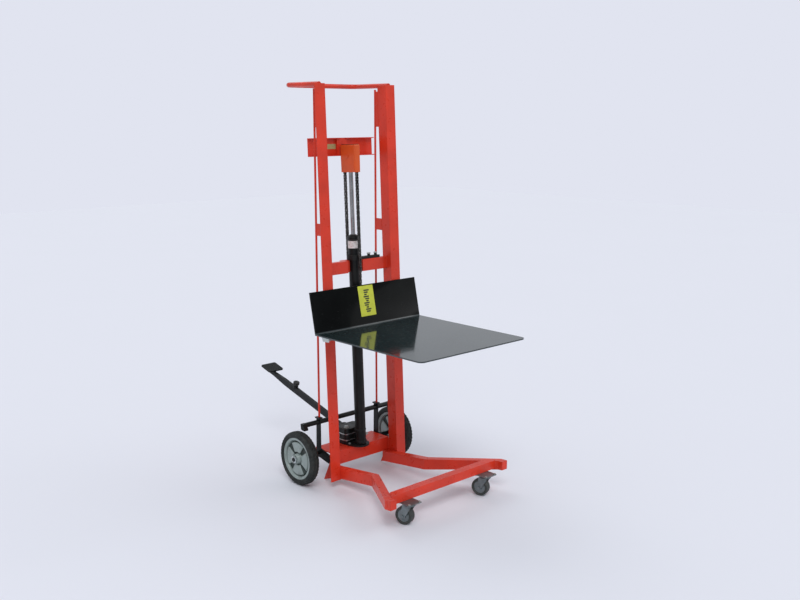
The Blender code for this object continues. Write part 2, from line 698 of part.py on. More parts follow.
# ---------------------------------------------------------------- platform and carriage
def build_platform(carriage):
    lean = Vector((math.sin(BACK_LEAN), math.cos(BACK_LEAN)))
    normal = Vector((math.cos(BACK_LEAN), -math.sin(BACK_LEAN)))
    heel = Vector((PLATFORM_REAR_Y, PLATFORM_TOP))
    top = heel + lean * BACK_HEIGHT
    under = PLATFORM_TOP - PLATE
    rear = heel + normal * PLATE
    toe = rear - lean * ((rear.y - under) / lean.y)
    front_y = PLATFORM_REAR_Y - PLATFORM_DEPTH
    outline = [(front_y, under), tuple(toe), tuple(top + normal * PLATE), tuple(top),
               tuple(heel), (front_y, PLATFORM_TOP)]
    bm = prism(outline, "X", -PLATFORM_HALF_X, PLATFORM_HALF_X)
    corners = [e for e in bm.edges
               if all(abs(v.co.y - front_y) < 1e-5 for v in e.verts)
               and abs(e.verts[0].co.x - e.verts[1].co.x) < 1e-5]
    bmesh.ops.bevel(bm, geom=corners, offset=CORNER_RADIUS, segments=8, profile=0.5,
                    affect="EDGES")
    origin = carriage.location
    bmesh.ops.translate(bm, verts=bm.verts, vec=-origin)
    add("platform", bm, "gloss_black", carriage)

    rib = [(-0.030, under - GAP), (-0.030, under - 0.040), (-0.100, under - 0.040),
           (-0.560, under - 0.014), (-0.560, under - GAP)]
    for name, side in SIDES:
        bm = prism(rib, "X", 0.1470, 0.1530)
        bmesh.ops.translate(bm, verts=bm.verts, vec=-origin)
        add("platform_rib_" + name, mirrored(bm, side), "gloss_black", carriage)


def build_carriage_sides(mast):
    plate = [(-0.0330, 0.7000), (0.0060, 0.7000), (0.0420, 0.7900), (0.0420, 0.9250),
             (-0.0030, 0.9250), (-0.0330, 0.7460)]
    upper_v = WALL + 0.0004 + ROLLER_RADIUS
    lower_v = -0.0004 - ROLLER_RADIUS
    rollers = (("upper", upper_v, ROLLER_UPPER_W), ("lower", lower_v, ROLLER_LOWER_W))
    profile = [(0.0083, ROLLER_X[0]), (0.0140, ROLLER_X[0]), (0.0150, ROLLER_X[0] + 0.002),
               (ROLLER_RADIUS, ROLLER_X[0] + 0.0035), (ROLLER_RADIUS, ROLLER_X[1] - 0.0035),
               (0.0150, ROLLER_X[1] - 0.002), (0.0140, ROLLER_X[1]), (0.0083, ROLLER_X[1])]
    for name, side in SIDES:
        bm = prism(plate, "X", *SIDE_X)
        for _, v, w in rollers:
            bm = fuse(bm, cylinder("X", (v, w), 0.0080, 0.1965, SIDE_X[1] + 0.004, 20))
        add("carriage_side_" + name, mirrored(bm, side), "zinc", mast,
            (side * SIDE_X[0], upper_v, ROLLER_UPPER_W))
        for place, v, w in rollers:
            ring = lathe(profile, "X", (v, w), 24)
            add("roller_" + place + "_" + name, mirrored(ring, side), "zinc", mast,
                (side * 0.2170, v, w))


def build_carriage_anchor(carriage):
    """A tongue under the platform, slotted for the front chain tail."""
    v = RAM_V - CHAIN_PITCH_RADIUS
    level = PLATFORM_TOP - PLATE - GAP - 0.0035
    chain_y = mast_point(v, level)[0]
    tongue = box((-0.025, 0.025), (-0.100, chain_y + 0.0085), (level - 0.0035, level + 0.0035))
    hole = box((-0.0050, 0.0050), (chain_y - 0.0062, chain_y + 0.0042), (level - 0.02, level + 0.02))
    bm = cut(tongue, hole)
    bmesh.ops.translate(bm, verts=bm.verts, vec=-carriage.location)
    add("carriage_anchor", bm, "gloss_black", carriage)


def build_chain_anchor(mast):
    """A hat-shaped strap that ties the rear chain tail to the mid crossmember."""
    face = MID_BLOCK["rear_v"] + GAP
    crown = RAM_V + CHAIN_PITCH_RADIUS + CHAIN_HALF_DEPTH + 0.0008
    half = [(0.034, face), (0.034, face + 0.004), (0.0135, face + 0.004), (0.0135, crown + 0.004)]
    inner = [(0.0090, crown), (0.0090, face)]
    outline = half + [(-x, v) for x, v in reversed(half)] + [(-x, v) for x, v in reversed(inner)]
    outline += inner
    add("chain_anchor", prism(outline, "Z", 0.998, 1.036), "black_paint", mast, (0, face, 0.998))


# ---------------------------------------------------------------- casters
def build_casters():
    plate_top = FRONT_BAR_Z[0] - GAP
    radius = CASTER_WHEEL_RADIUS
    for name, side in SIDES:
        place = (side * CASTER_X, CASTER_Y)
        plate = prism(rounded_rectangle(0.0375, 0.0380, 0.006, place, 2), "Z",
                      plate_top - 0.0032, plate_top)
        race = lathe([(0, 0.0925), (0.0220, 0.0925), (0.0245, 0.0950), (0.0245, 0.1000),
                      (0, 0.1000)], "Z", place, 24, hollow=False)
        kingpin = cylinder("Z", place, 0.0050, 0.0820, 0.0960, 16)
        add("caster_plate_" + name, fuse(plate, race, kingpin), "zinc", None,
            (*place, plate_top))

        swivel = frame_empty("caster_swivel_" + name, (*place, 0.0), (0, 0, CASTER_HEADING))
        crown = cylinder("Z", (0, 0), 0.0245, 0.0880, 0.0920, 24)
        trail, lug = CASTER_TRAIL, 0.0105
        leg = [(-0.0170, 0.0915), (-0.0150, 0.0800)]
        leg += arc((trail, radius), lug, math.radians(205), math.radians(380), 8)
        leg += [(0.0230, 0.0915)]
        for sx in (-1, 1):
            inner, outer = sorted((sx * 0.0192, sx * 0.0222))
            crown = fuse(crown, prism(leg, "X", inner, outer))
        crown = cut(crown, cylinder("Z", (0, 0), 0.0054, 0.07, 0.10, 16),
                    cylinder("X", (trail, radius), 0.0043, -0.03, 0.03, 16))
        add("caster_fork_" + name, crown, "zinc", swivel)

        tread_half = [(0.0043, 0.0186), (0.0120, 0.0186), (0.0125, 0.0120), (0.0280, 0.0120),
                      (0.0300, 0.0170), (0.0370, 0.0170), (radius, 0.0110)]
        profile = tread_half + [(r, -h) for r, h in reversed(tread_half)]
        add("caster_wheel_" + name, lathe(profile, "X", (0, 0), 32), "caster_rubber", swivel,
            (0, 0, 0)).location = (0, trail, radius)
        bolt = [(0, -0.0265), (0.0065, -0.0265), (0.0065, -0.0225), (0.0040, -0.0225),
                (0.0040, 0.0225), (0.0065, 0.0225), (0.0065, 0.0265), (0, 0.0265)]
        add("caster_axle_" + name, lathe(bolt, "X", (trail, radius), 12, hollow=False), "zinc",
            swivel, (0, trail, radius))


# ---------------------------------------------------------------- assembly
clear_scene()
MATERIALS = make_materials()

mast_frame = frame_empty("mast_frame", (0, MAST_FOOT_Y, 0), (-MAST_TILT, 0, 0))
build_uprights(mast_frame)
build_handle()
build_truss_rods()
build_mid_crossmember(mast_frame)
build_deck()
build_legs()
build_front_crossbar()
build_axle_brackets()
build_rear_axle()
build_rear_wheels()
build_brake()
build_cylinder(mast_frame)
build_pump()
build_pedal()
ram_frame = build_ram(mast_frame)
build_crosshead_channel(ram_frame)
build_chain_loop(ram_frame)
carriage_frame = frame_empty("carriage_axis", (0, PLATFORM_REAR_Y, PLATFORM_TOP))
build_platform(carriage_frame)
build_carriage_sides(mast_frame)
build_carriage_anchor(carriage_frame)
build_chain_anchor(mast_frame)
chain_tail("chain_tail_front", mast_frame, RAM_V - CHAIN_PITCH_RADIUS, -1, FRONT_TAIL,
           (0, RAM_V - CHAIN_PITCH_RADIUS, FRONT_TAIL[0]))
chain_tail("chain_tail_rear", mast_frame, RAM_V + CHAIN_PITCH_RADIUS, 1, REAR_TAIL,
           (0, RAM_V + CHAIN_PITCH_RADIUS, REAR_TAIL[0]))
build_casters()
centre_on_floor()
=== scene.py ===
"""Looks for the foot-pump platform lift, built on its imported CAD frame.

Metres, +Z up, platform towards -Y, operator towards +Y. The mast leans back by MAST_TILT, so
pieces that belong to it are modelled in the mast's own (x, v, w) frame and then turned upright.
Positions below count y from the machine's datum line; piece() slides each piece by -DATUM onto
the CAD frame, whose origin is in the middle of the footprint.
"""

import math

import bmesh
import bpy
from mathutils import Matrix, Vector


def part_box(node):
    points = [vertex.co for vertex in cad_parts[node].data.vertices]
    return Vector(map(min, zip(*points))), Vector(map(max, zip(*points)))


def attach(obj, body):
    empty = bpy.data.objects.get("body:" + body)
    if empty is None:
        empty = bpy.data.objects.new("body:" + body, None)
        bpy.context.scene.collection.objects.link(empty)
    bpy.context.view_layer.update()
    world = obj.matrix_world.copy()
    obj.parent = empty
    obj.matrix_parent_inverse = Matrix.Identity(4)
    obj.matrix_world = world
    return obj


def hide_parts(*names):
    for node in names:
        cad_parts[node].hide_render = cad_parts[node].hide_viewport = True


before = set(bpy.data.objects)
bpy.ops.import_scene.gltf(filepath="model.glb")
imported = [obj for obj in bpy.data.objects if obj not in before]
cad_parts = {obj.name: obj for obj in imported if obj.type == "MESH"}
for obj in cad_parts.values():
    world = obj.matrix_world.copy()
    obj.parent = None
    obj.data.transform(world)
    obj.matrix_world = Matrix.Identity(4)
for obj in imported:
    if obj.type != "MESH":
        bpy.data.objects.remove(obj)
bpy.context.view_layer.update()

# ---------------------------------------------------------------- driving dimensions
MAST_TILT = math.radians(2.5)
MAST_FOOT_Y = -0.0189
MAST = Matrix.Translation((0, MAST_FOOT_Y, 0)) @ Matrix.Rotation(-MAST_TILT, 4, "X")

AXLE = Vector((0, 0.142, 0.127))        # rear axle, as (0, y, z)
WHEEL_X = 0.295
RIM_RADIUS = 0.0995
TYRE_RADIUS = 0.127
DATUM = Vector((0, AXLE.y - (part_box("rear_axle")[0].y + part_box("rear_axle")[1].y) / 2, 0))

RAM_V = 0.059                           # ram and cylinder axis behind the mast's front plane
SHEAVE_W = 1.522
CHAIN_RADIUS = 0.042
CHAIN_PITCH = 0.0127
LOOP_ENDS = (0.985, 1.020)              # mast heights of the loop's front and rear ends
FRONT_TAIL = (0.705, 1.315)
REAR_TAIL = (1.000, 1.235)

PEDAL_PIVOT = Vector((0, 0.190, 0.207))
PEDAL_RISE = math.radians(15.4)
PEDAL = Matrix.Translation(PEDAL_PIVOT) @ Matrix.Rotation(PEDAL_RISE, 4, "X")
PAD_Y = 0.608
KNOB_Y = 0.392

PLATFORM_HEEL = Vector((0, -0.026, 0.750))
BACK_LEAN = math.radians(11.9)
BACK = Matrix.Translation(PLATFORM_HEEL) @ Matrix.Rotation(-BACK_LEAN, 4, "X")
# Between these heights the deck's painted reflection fades into the back plate's darker colour.
DECK_FADE = (0.752, 0.756)              # heights where the deck's look changes to the back plate's

CASTER_HEADING = math.radians(17)
CASTER_TRAIL = 0.022
CASTER_RADIUS = 0.040
CASTER_PLACES = {"left": (-0.236, -0.546), "right": (0.236, -0.546)}
SIDES = (("left", -1), ("right", 1))

CAMERA_PLACE = (-2.878, -3.359, 1.700)
CAMERA_FORWARD = (0.6667, 0.7216, -0.1864)
CAMERA_LENS = 43.65
PALE = (0.756, 0.768, 0.828)
BACKDROP = (0.753, 0.775, 0.871)


# ---------------------------------------------------------------- materials
class Surface:
    """A node material: a Principled shader whose colour, roughness and bump vary over the object."""

    def __init__(self, name):
        self.material = bpy.data.materials.new(name)
        self.material.use_nodes = True
        self.tree = self.material.node_tree
        self.tree.nodes.clear()
        output = self.tree.nodes.new("ShaderNodeOutputMaterial")
        self.shader = self.tree.nodes.new("ShaderNodeBsdfPrincipled")
        self.tree.links.new(self.shader.outputs[0], output.inputs[0])
        self.coords = self.tree.nodes.new("ShaderNodeTexCoord").outputs["Object"]

    def feed(self, socket, value):
        """Link a node's output into a socket, or set the socket's own value."""
        if isinstance(value, bpy.types.NodeSocket):
            self.tree.links.new(value, socket)
        elif value is not None:
            socket.default_value = value

    def set(self, **values):
        """Feed the shader's inputs, named with _ for each space."""
        for key, value in values.items():
            self.feed(self.shader.inputs[key.replace("_", " ")], value)

    def noise(self, scale, detail=3.0, stretch=(1, 1, 1), roughness=0.55):
        mapping = self.tree.nodes.new("ShaderNodeMapping")
        mapping.inputs["Scale"].default_value = stretch
        self.tree.links.new(self.coords, mapping.inputs["Vector"])
        node = self.tree.nodes.new("ShaderNodeTexNoise")
        node.inputs["Scale"].default_value = scale
        node.inputs["Detail"].default_value = detail
        node.inputs["Roughness"].default_value = roughness
        self.tree.links.new(mapping.outputs[0], node.inputs["Vector"])
        return node.outputs["Fac"]

    def ramp(self, value, low, high, to_low=0.0, to_high=1.0):
        node = self.tree.nodes.new("ShaderNodeMapRange")
        self.feed(node.inputs["Value"], value)
        for key, number in (("From Min", low), ("From Max", high),
                            ("To Min", to_low), ("To Max", to_high)):
            node.inputs[key].default_value = number
        return node.outputs[0]

    def math(self, operation, a, b=None):
        node = self.tree.nodes.new("ShaderNodeMath")
        node.operation = operation
        self.feed(node.inputs[0], a)
        self.feed(node.inputs[1], b)
        return node.outputs[0]

    def mix(self, factor, a, b):
        node = self.tree.nodes.new("ShaderNodeMix")
        node.data_type = "RGBA"
        self.feed(node.inputs["Factor"], factor)
        for socket, value in ((node.inputs[6], a), (node.inputs[7], b)):
            self.feed(socket, (*value, 1.0) if isinstance(value, tuple) and len(value) == 3 else value)
        return node.outputs[2]

    def edges(self, radius=0.0016):
        """1 on sharp outer edges, 0 on flat faces."""
        bevel = self.tree.nodes.new("ShaderNodeBevel")
        bevel.samples = 4
        bevel.inputs["Radius"].default_value = radius
        geometry = self.tree.nodes.new("ShaderNodeNewGeometry")
        dot = self.tree.nodes.new("ShaderNodeVectorMath")
        dot.operation = "DOT_PRODUCT"
        self.tree.links.new(bevel.outputs[0], dot.inputs[0])
        self.tree.links.new(geometry.outputs["Normal"], dot.inputs[1])
        return self.ramp(dot.outputs["Value"], 0.995, 0.90)

    def coordinate(self, letter):
        """The object's own X, Y or Z, in metres."""
        split = self.tree.nodes.new("ShaderNodeSeparateXYZ")
        self.tree.links.new(self.coords, split.inputs[0])
        return split.outputs[letter]

    def bump(self, height, distance, strength=0.6):
        node = self.tree.nodes.new("ShaderNodeBump")
        node.inputs["Distance"].default_value = distance
        node.inputs["Strength"].default_value = strength
        self.feed(node.inputs["Height"], height)
        self.feed(self.shader.inputs["Normal"], node.outputs[0])


def paint(name, colour, rough=0.3, coat=0.5, peel=0.00012, worn=(0.22, 0.06, 0.04), wear=0.5,
          dirt=0.10, shine=0.3):
    """Sprayed paint: cloudy tone, orange peel, thin grime and rubbed edges."""
    s = Surface(name)
    cloud = s.noise(9, 4)
    dark = tuple(c * 0.62 for c in colour)
    tone = s.mix(s.ramp(cloud, 0.30, 0.72, 0.55, 0.0), colour, dark)
    grime = s.ramp(s.noise(14, 6, roughness=0.6), 0.50, 0.80, 0.0, dirt)
    tone = s.mix(grime, tone, (0.05, 0.035, 0.03))
    rubbed = s.math("MULTIPLY", s.edges(), s.ramp(s.noise(60, 3), 0.45, 0.62, 0.0, wear))
    tone = s.mix(rubbed, tone, worn)
    s.set(Base_Color=tone, Coat_Weight=coat, Coat_Roughness=0.12, Specular_IOR_Level=shine)
    s.set(Roughness=s.ramp(s.noise(34, 4), 0.3, 0.7, rough - 0.07, rough + 0.14))
    s.bump(s.noise(420, 2), peel)
    return s.material


def metal(name, colour, rough=0.3, stretch=(1, 1, 1), scale=260, depth=0.00005, tint=None,
          metallic=1.0):
    """Bare or plated metal with fine directional marks and a cloudy tint."""
    s = Surface(name)
    lines = s.noise(scale, 4, stretch)
    cloud = s.noise(22, 5)
    tone = s.mix(s.ramp(cloud, 0.35, 0.7, 0.0, 0.7), colour, tint or tuple(c * 0.6 for c in colour))
    s.set(Base_Color=tone, Metallic=metallic)
    s.set(Roughness=s.ramp(lines, 0.3, 0.7, rough - 0.08, rough + 0.16))
    s.bump(lines, depth)
    return s.material


def rubber(name, colour, dust=(0.16, 0.155, 0.14), amount=0.35, rough=0.78):
    """Matt rubber or moulded plastic with dust in patches."""
    s = Surface(name)
    powder = s.ramp(s.noise(17, 6, roughness=0.72), 0.48, 0.75, 0.0, amount)
    tone = s.mix(powder, colour, dust)
    s.set(Base_Color=tone, Roughness=s.ramp(s.noise(70, 3), 0.3, 0.7, rough - 0.12, rough + 0.1))
    s.bump(s.noise(650, 3), 0.00018)
    return s.material


def platform_paint():
    """Gloss black plate: the deck is glossier and its colour holds a painted reflection, lighter and
    bluish, the turned-up back is duller and near black, and both are scratched.
    """
    s = Surface("platform_gloss_black")
    scratch_x = s.ramp(s.noise(55, 2, (1, 14, 1)), 0.66, 0.70)
    scratch_y = s.ramp(s.noise(48, 2, (16, 1, 1)), 0.67, 0.71)
    scratches = s.math("MAXIMUM", scratch_x, scratch_y)
    deck_reflection_mask = s.ramp(s.coordinate("Z"), *DECK_FADE, 1.0, 0.0)
    cloud = s.ramp(s.noise(6, 5), 0.4, 0.7, 0.0, 0.8)
    # The deck's lighter, bluish tones are a painted reflection; the back keeps the plate's near black.
    deck = s.mix(cloud, (0.012, 0.023, 0.025), (0.022, 0.036, 0.037))
    back = s.mix(cloud, (0.0025, 0.0030, 0.0030), (0.0060, 0.0070, 0.0070))
    tone = s.mix(deck_reflection_mask, back, deck)
    visible = s.math("MULTIPLY", scratches, s.ramp(deck_reflection_mask, 0.0, 1.0, 0.05, 0.24))
    tone = s.mix(visible, tone, (0.10, 0.11, 0.11))
    rubbed = s.math("MULTIPLY", s.edges(), s.ramp(s.noise(70, 3), 0.42, 0.6, 0.0, 0.75))
    tone = s.mix(rubbed, tone, (0.20, 0.21, 0.20))
    rough = s.math("ADD", s.ramp(s.noise(14, 5), 0.3, 0.75, 0.07, 0.16),
                   s.math("MULTIPLY", scratches, 0.18))
    s.set(Base_Color=tone, Roughness=rough, Coat_Roughness=0.05)
    s.set(Coat_Weight=s.math("MULTIPLY", deck_reflection_mask, 0.45))
    s.set(Specular_IOR_Level=s.ramp(deck_reflection_mask, 0.0, 1.0, 0.06, 0.5))
    s.bump(s.noise(160, 3), 0.00003)
    return s.material


def chain_material():
    """Oiled steel, dark in patches and bright on rubbed edges."""
    s = Surface("oiled_chain")
    tone = s.mix(s.ramp(s.noise(90, 4), 0.4, 0.65), (0.012, 0.011, 0.010), (0.10, 0.095, 0.09))
    tone = s.mix(s.math("MULTIPLY", s.edges(0.0006), 0.7), tone, (0.32, 0.31, 0.30))
    s.set(Base_Color=tone, Metallic=0.8, Roughness=s.ramp(s.noise(140, 3), 0.3, 0.7, 0.25, 0.55))
    s.bump(s.noise(900, 2), 0.00004)
    return s.material


def label_material(name, colour, mark=None, aspect=1.0):
    """Printed vinyl with no writing: a ground colour and, if asked, plain dark stains."""
    s = Surface(name)
    tone = s.mix(s.ramp(s.noise(40, 5), 0.4, 0.75, 0.0, 0.35), colour, tuple(c * 0.6 for c in colour))
    if mark:
        stain = s.ramp(s.noise(85, 4, (1, 1, aspect)), 0.52, 0.58, 0.0, 0.6)
        tone = s.mix(stain, tone, mark)
    s.set(Base_Color=tone, Roughness=s.ramp(s.noise(50, 2), 0.3, 0.7, 0.28, 0.42))
    s.bump(s.noise(500, 2), 0.00003)
    return s.material


RED = paint("red_powder_paint", (0.76, 0.044, 0.017), coat=0.08, wear=0.35)
ORANGE = paint("orange_cast_paint", (0.74, 0.100, 0.016), rough=0.38, coat=0.1, peel=0.00030)
SATIN = paint("satin_black_paint", (0.0045, 0.0060, 0.0060), rough=0.38, coat=0.04,
              worn=(0.16, 0.15, 0.14), dirt=0.25, shine=0.22)
CAST = paint("cast_black_paint", (0.0060, 0.0075, 0.0075), rough=0.45, coat=0.04, peel=0.0006,
             worn=(0.14, 0.14, 0.13), dirt=0.3, shine=0.28)
GLOSS = platform_paint()
CHROME = metal("ram_chrome", (0.38, 0.38, 0.39), rough=0.16, stretch=(1, 1, 22), scale=120,
               depth=0.00001)
STEEL = metal("machined_steel", (0.42, 0.42, 0.42), scale=300)
ZINC = metal("zinc_plate", (0.56, 0.61, 0.62), rough=0.33, scale=180, tint=(0.50, 0.50, 0.42))
CASTER = metal("caster_plate_steel", (0.24, 0.28, 0.29), rough=0.42, scale=160, depth=0.00006,
               tint=(0.10, 0.12, 0.12), metallic=0.85)
BOLT = metal("zinc_bolt", (0.46, 0.47, 0.46), rough=0.36, scale=300, depth=0.00004,
             tint=(0.30, 0.29, 0.24))
CHAIN = chain_material()
TYRE = rubber("tyre_rubber", (0.009, 0.012, 0.011), amount=0.22)
TREAD = rubber("caster_rubber", (0.030, 0.036, 0.033), amount=0.45, rough=0.62)
GRIP = rubber("moulded_grip", (0.012, 0.012, 0.012), amount=0.2, rough=0.6)
DISC = paint("wheel_silver", (0.30, 0.36, 0.34), rough=0.30, coat=0.2, worn=(0.2, 0.2, 0.19),
             dirt=0.5, shine=0.5)
# Painted shade: a darker copy of the wheel's silver, for the disc's X-shaped recess.
RECESS_SHADE = paint("wheel_recess_painted_shade", (0.040, 0.058, 0.052), rough=0.5, coat=0.1, dirt=0.5)
YELLOW = label_material("yellow_decal", (0.62, 0.66, 0.05))
PRINT = label_material("decal_print", (0.030, 0.035, 0.015))
BLANK = label_material("blank_white_label", (0.78, 0.74, 0.72), mark=(0.42, 0.36, 0.34), aspect=2.0)
OLIVE = label_material("blank_olive_label", (0.42, 0.36, 0.16), mark=(0.30, 0.24, 0.10), aspect=2.0)


# ---------------------------------------------------------------- mesh building blocks
def shell(rings, cap=True, closed=False):
    """A skin through rings of points, all rings the same length."""
    bm = bmesh.new()
    rows = [[bm.verts.new(p) for p in ring] for ring in rings]
    count = len(rows[0])
    pairs = list(zip(rows, rows[1:])) + ([(rows[-1], rows[0])] if closed else [])
    for a, b in pairs:
        for i in range(count):
            j = (i + 1) % count
            bm.faces.new((a[i], a[j], b[j], b[i]))
    if cap and not closed:
        bm.faces.new(rows[0])
        bm.faces.new(rows[-1])
    bmesh.ops.recalc_face_normals(bm, faces=bm.faces)
    return bm


def lathe(profile, segments=48, closed=True, shape=None):
    """Turn a (radius, height) profile about Z. shape(radius, height, angle) may move a point."""
    rings = []
    for i in range(segments):
        angle = 2 * math.pi * i / segments
        ring = []
        for radius, height in profile:
            r, h = shape(radius, height, angle) if shape else (radius, height)
            ring.append(Vector((r * math.cos(angle), r * math.sin(angle), h)))
        rings.append(ring)
    if closed:
        return shell(rings, closed=True)
    bm = bmesh.new()
    rows = [[bm.verts.new(p) for p in ring] for ring in rings]
    for i in range(segments):
        a, b = rows[i], rows[(i + 1) % segments]
        for j in range(len(profile) - 1):
            bm.faces.new((a[j], b[j], b[j + 1], a[j + 1]))
    for end in (0, -1):
        bm.faces.new([row[end] for row in rows])
    bmesh.ops.recalc_face_normals(bm, faces=bm.faces)
    return bm


def extrude(outline, low, high):
    """An (x, y) outline given thickness along Z."""
    return shell([[Vector((x, y, z)) for x, y in outline] for z in (low, high)])


def block(low, high):
    """A box between two corners."""
    return extrude([(low[0], low[1]), (high[0], low[1]), (high[0], high[1]), (low[0], high[1])],
                   low[2], high[2])


def arc(centre, radius, start, stop, steps):
    """Points of a circle from one angle to another."""
    return [(centre[0] + radius * math.cos(start + (stop - start) * i / steps),
             centre[1] + radius * math.sin(start + (stop - start) * i / steps))
            for i in range(steps + 1)]


def round_rectangle(half_x, half_y, radius, centre=(0, 0), steps=5):
    outline = []
    for quarter, (sx, sy) in enumerate(((1, 1), (-1, 1), (-1, -1), (1, -1))):
        corner = (centre[0] + sx * (half_x - radius), centre[1] + sy * (half_y - radius))
        start = quarter * math.pi / 2
        outline += arc(corner, radius, start, start + math.pi / 2, steps)
    return outline


def pipe(path, radii, sides=16):
    """A round bar along a path of points. radii is one radius or one for each point."""
    path = [Vector(p) for p in path]
    if isinstance(radii, (int, float)):
        radii = [radii] * len(path)
    rings = []
    up = None
    for i, point in enumerate(path):
        ahead = (path[min(i + 1, len(path) - 1)] - path[max(i - 1, 0)]).normalized()
        if up is None:
            up = ahead.orthogonal().normalized()
        up = (up - ahead * up.dot(ahead)).normalized()
        side = ahead.cross(up)
        rings.append([point + (up * math.cos(t) + side * math.sin(t)) * radii[i]
                      for t in (2 * math.pi * k / sides for k in range(sides))])
    return shell(rings)


def moved(bm, matrix):
    """Transform a mesh, and keep its faces outward if the matrix mirrors."""
    bm.transform(matrix)
    if matrix.determinant() < 0:
        bmesh.ops.reverse_faces(bm, faces=bm.faces)
    return bm


def joined(meshes):
    """Several meshes as one, all of them used up."""
    whole = bmesh.new()
    for bm in meshes:
        mesh = bpy.data.meshes.new("part")
        bm.to_mesh(mesh)
        bm.free()
        whole.from_mesh(mesh)
        bpy.data.meshes.remove(mesh)
    return whole


def along(axis, place=(0, 0, 0)):
    """Turn +Z to point along an axis and move to a place."""
    turn = Vector((0, 0, 1)).rotation_difference(Vector(axis)).to_matrix().to_4x4()
    return Matrix.Translation(place) @ turn


def facing_front(y):
    """Stand an outline drawn in X and Y upright at a depth y, its thickness towards -Y."""
    return Matrix(((1, 0, 0, 0), (0, 0, -1, y), (0, 1, 0, 0), (0, 0, 0, 1)))


def circlip(inner, outer, thickness):
    """A flat ring standing on the XY plane."""
    return lathe([(inner, 0.0), (outer, 0.0), (outer, thickness), (inner, thickness)], 24)


def piece(name, bm, material, body, bevel=0.0, angle=35, second=None):
    """Name a mesh, give it its finish and let it ride on a body."""
    mesh = bpy.data.meshes.new(name)
    bm.to_mesh(mesh)
    bm.free()
    mesh.shade_smooth()
    mesh.set_sharp_from_angle(angle=math.radians(angle))
    mesh.materials.append(material)
    if second:
        mesh.materials.append(second)
    obj = bpy.data.objects.new(name, mesh)
    obj.location = -DATUM
    bpy.context.scene.collection.objects.link(obj)
    if bevel:
        round_edges(obj, bevel)
    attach(obj, body)
    return obj


def round_edges(obj, width, segments=2):
    """Soften the sharp edges with a small bevel."""
    modifier = obj.modifiers.new("rounded", "BEVEL")
    modifier.width = width
    modifier.segments = segments
    modifier.limit_method = "ANGLE"
    modifier.angle_limit = math.radians(40)
    modifier.use_clamp_overlap = True
    modifier.harden_normals = True


# ---------------------------------------------------------------- fasteners and welds
def hex_bolt(size, place, axis, washer=True):
    """A hex head with a chamfered crown on a washer, standing on a face."""
    corner = size * 0.90 / math.cos(math.pi / 6)
    bottom = size * 0.28 if washer else 0.0
    top = bottom + size * 0.65
    corners = [(corner * math.cos(a), corner * math.sin(a))
               for a in (math.pi / 6 + k * math.pi / 3 for k in range(6))]
    rings = []
    for height, share in ((bottom, 1.0), (top - size * 0.12, 1.0), (top, 0.86)):
        rings.append([Vector((x * share, y * share, height)) for x, y in corners])
    parts = [shell(rings)]
    if washer:
        parts.append(lathe([(size * 0.3, 0.0), (size * 1.25, 0.0), (size * 1.3, size * 0.04),
                            (size * 1.25, size * 0.26), (size * 0.3, size * 0.26)], 24))
    return moved(joined(parts), along(axis, place))


def weld(path, radius=0.0026, spacing=0.0042):
    """A rippled bead laid along a line of points."""
    path = [Vector(p) for p in path]
    points, radii = [], []
    run = 0.0
    for a, b in zip(path, path[1:]):
        steps = max(3, round((b - a).length / (spacing / 4)))
        for i in range(steps):
            points.append(a.lerp(b, i / steps))
            phase = (run + (b - a).length * i / steps) / spacing
            radii.append(radius * (0.82 + 0.18 * abs(math.sin(math.pi * phase))
                                   + 0.06 * math.sin(3.1 * phase)))
        run += (b - a).length
    points.append(path[-1])
    radii.append(radius * 0.4)
    radii[0] = radius * 0.4
    return pipe(points, radii, 8)


# ---------------------------------------------------------------- carried-over CAD nodes
SAME_POINT = 0.00002                    # corners nearer than this are one before the bevel


def dress(names, material, bevel=0.0008):
    """Give carried-over bodies their material and, unless bevel is 0, soft edges."""
    for name in names:
        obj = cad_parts[name]
        obj.data.materials.clear()
        obj.data.materials.append(material)
        if bevel:
            merge = obj.modifiers.new("merge", "WELD")
            merge.merge_threshold = SAME_POINT
            round_edges(obj, bevel)


def both(*stems):
    """The left and right names of each stem."""
    return [stem + "_" + side for stem in stems for side, _ in SIDES]


dress(both("upright", "base_leg"), RED, 0.0010)
dress(both("truss_rod") + ["mid_crossmember", "deck_plate", "front_crossbar",
                           "crosshead_channel"], RED)
dress(["sheave_housing"], ORANGE, 0.0015)
dress(both("axle_bracket") + ["rear_axle", "brake_bar", "cylinder_tube", "cylinder_gland",
                              "pedal_arm", "pedal_pad", "chain_anchor"], SATIN, 0.0006)
dress(["cylinder_clamp", "pump_reservoir", "pump_barrel"], CAST, 0.0010)
dress(["platform", "carriage_anchor"] + both("platform_rib"), GLOSS, 0.0008)
dress(["ram_rod"], CHROME, 0.0)
dress(["ram_piston", "chain_sheave", "pump_piston"], STEEL, 0.0)
dress(["pedal_pin"] + both("axle_collar", "roller_upper", "roller_lower", "carriage_side"), ZINC,
      0.0004)
dress(both("caster_plate", "caster_fork", "caster_axle"), CASTER, 0.0004)
dress(["sheave_pin"], ORANGE, 0.0004)


# ---------------------------------------------------------------- handle
HANDLE_BEND = 0.045


def build_handle():
    """The bent tube, and a bead under each end where it meets the upright."""
    low, high = (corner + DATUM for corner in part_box("handle"))
    radius = (high.z - low.z) / 2
    z = (high.z + low.z) / 2
    x, y = high.x - radius, high.y - radius
    half = [(x, low.y)]
    half += arc((x - HANDLE_BEND, y - HANDLE_BEND), HANDLE_BEND, 0, math.pi / 2, 16)
    path = [(a, b, z) for a, b in half] + [(-a, b, z) for a, b in reversed(half)]
    bar = piece("push_handle", pipe(path, radius - 0.0001, 32), RED, "frame", 0.0008)
    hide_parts("handle")
    reach = radius + 0.0008
    beads = []
    for _, side in SIDES:
        under = arc((side * x, z), reach, math.pi, 2 * math.pi, 12)
        beads.append(weld([(a, low.y + 0.0012, b) for a, b in under], 0.0022))
    piece("handle_welds", joined(beads), RED, "frame")


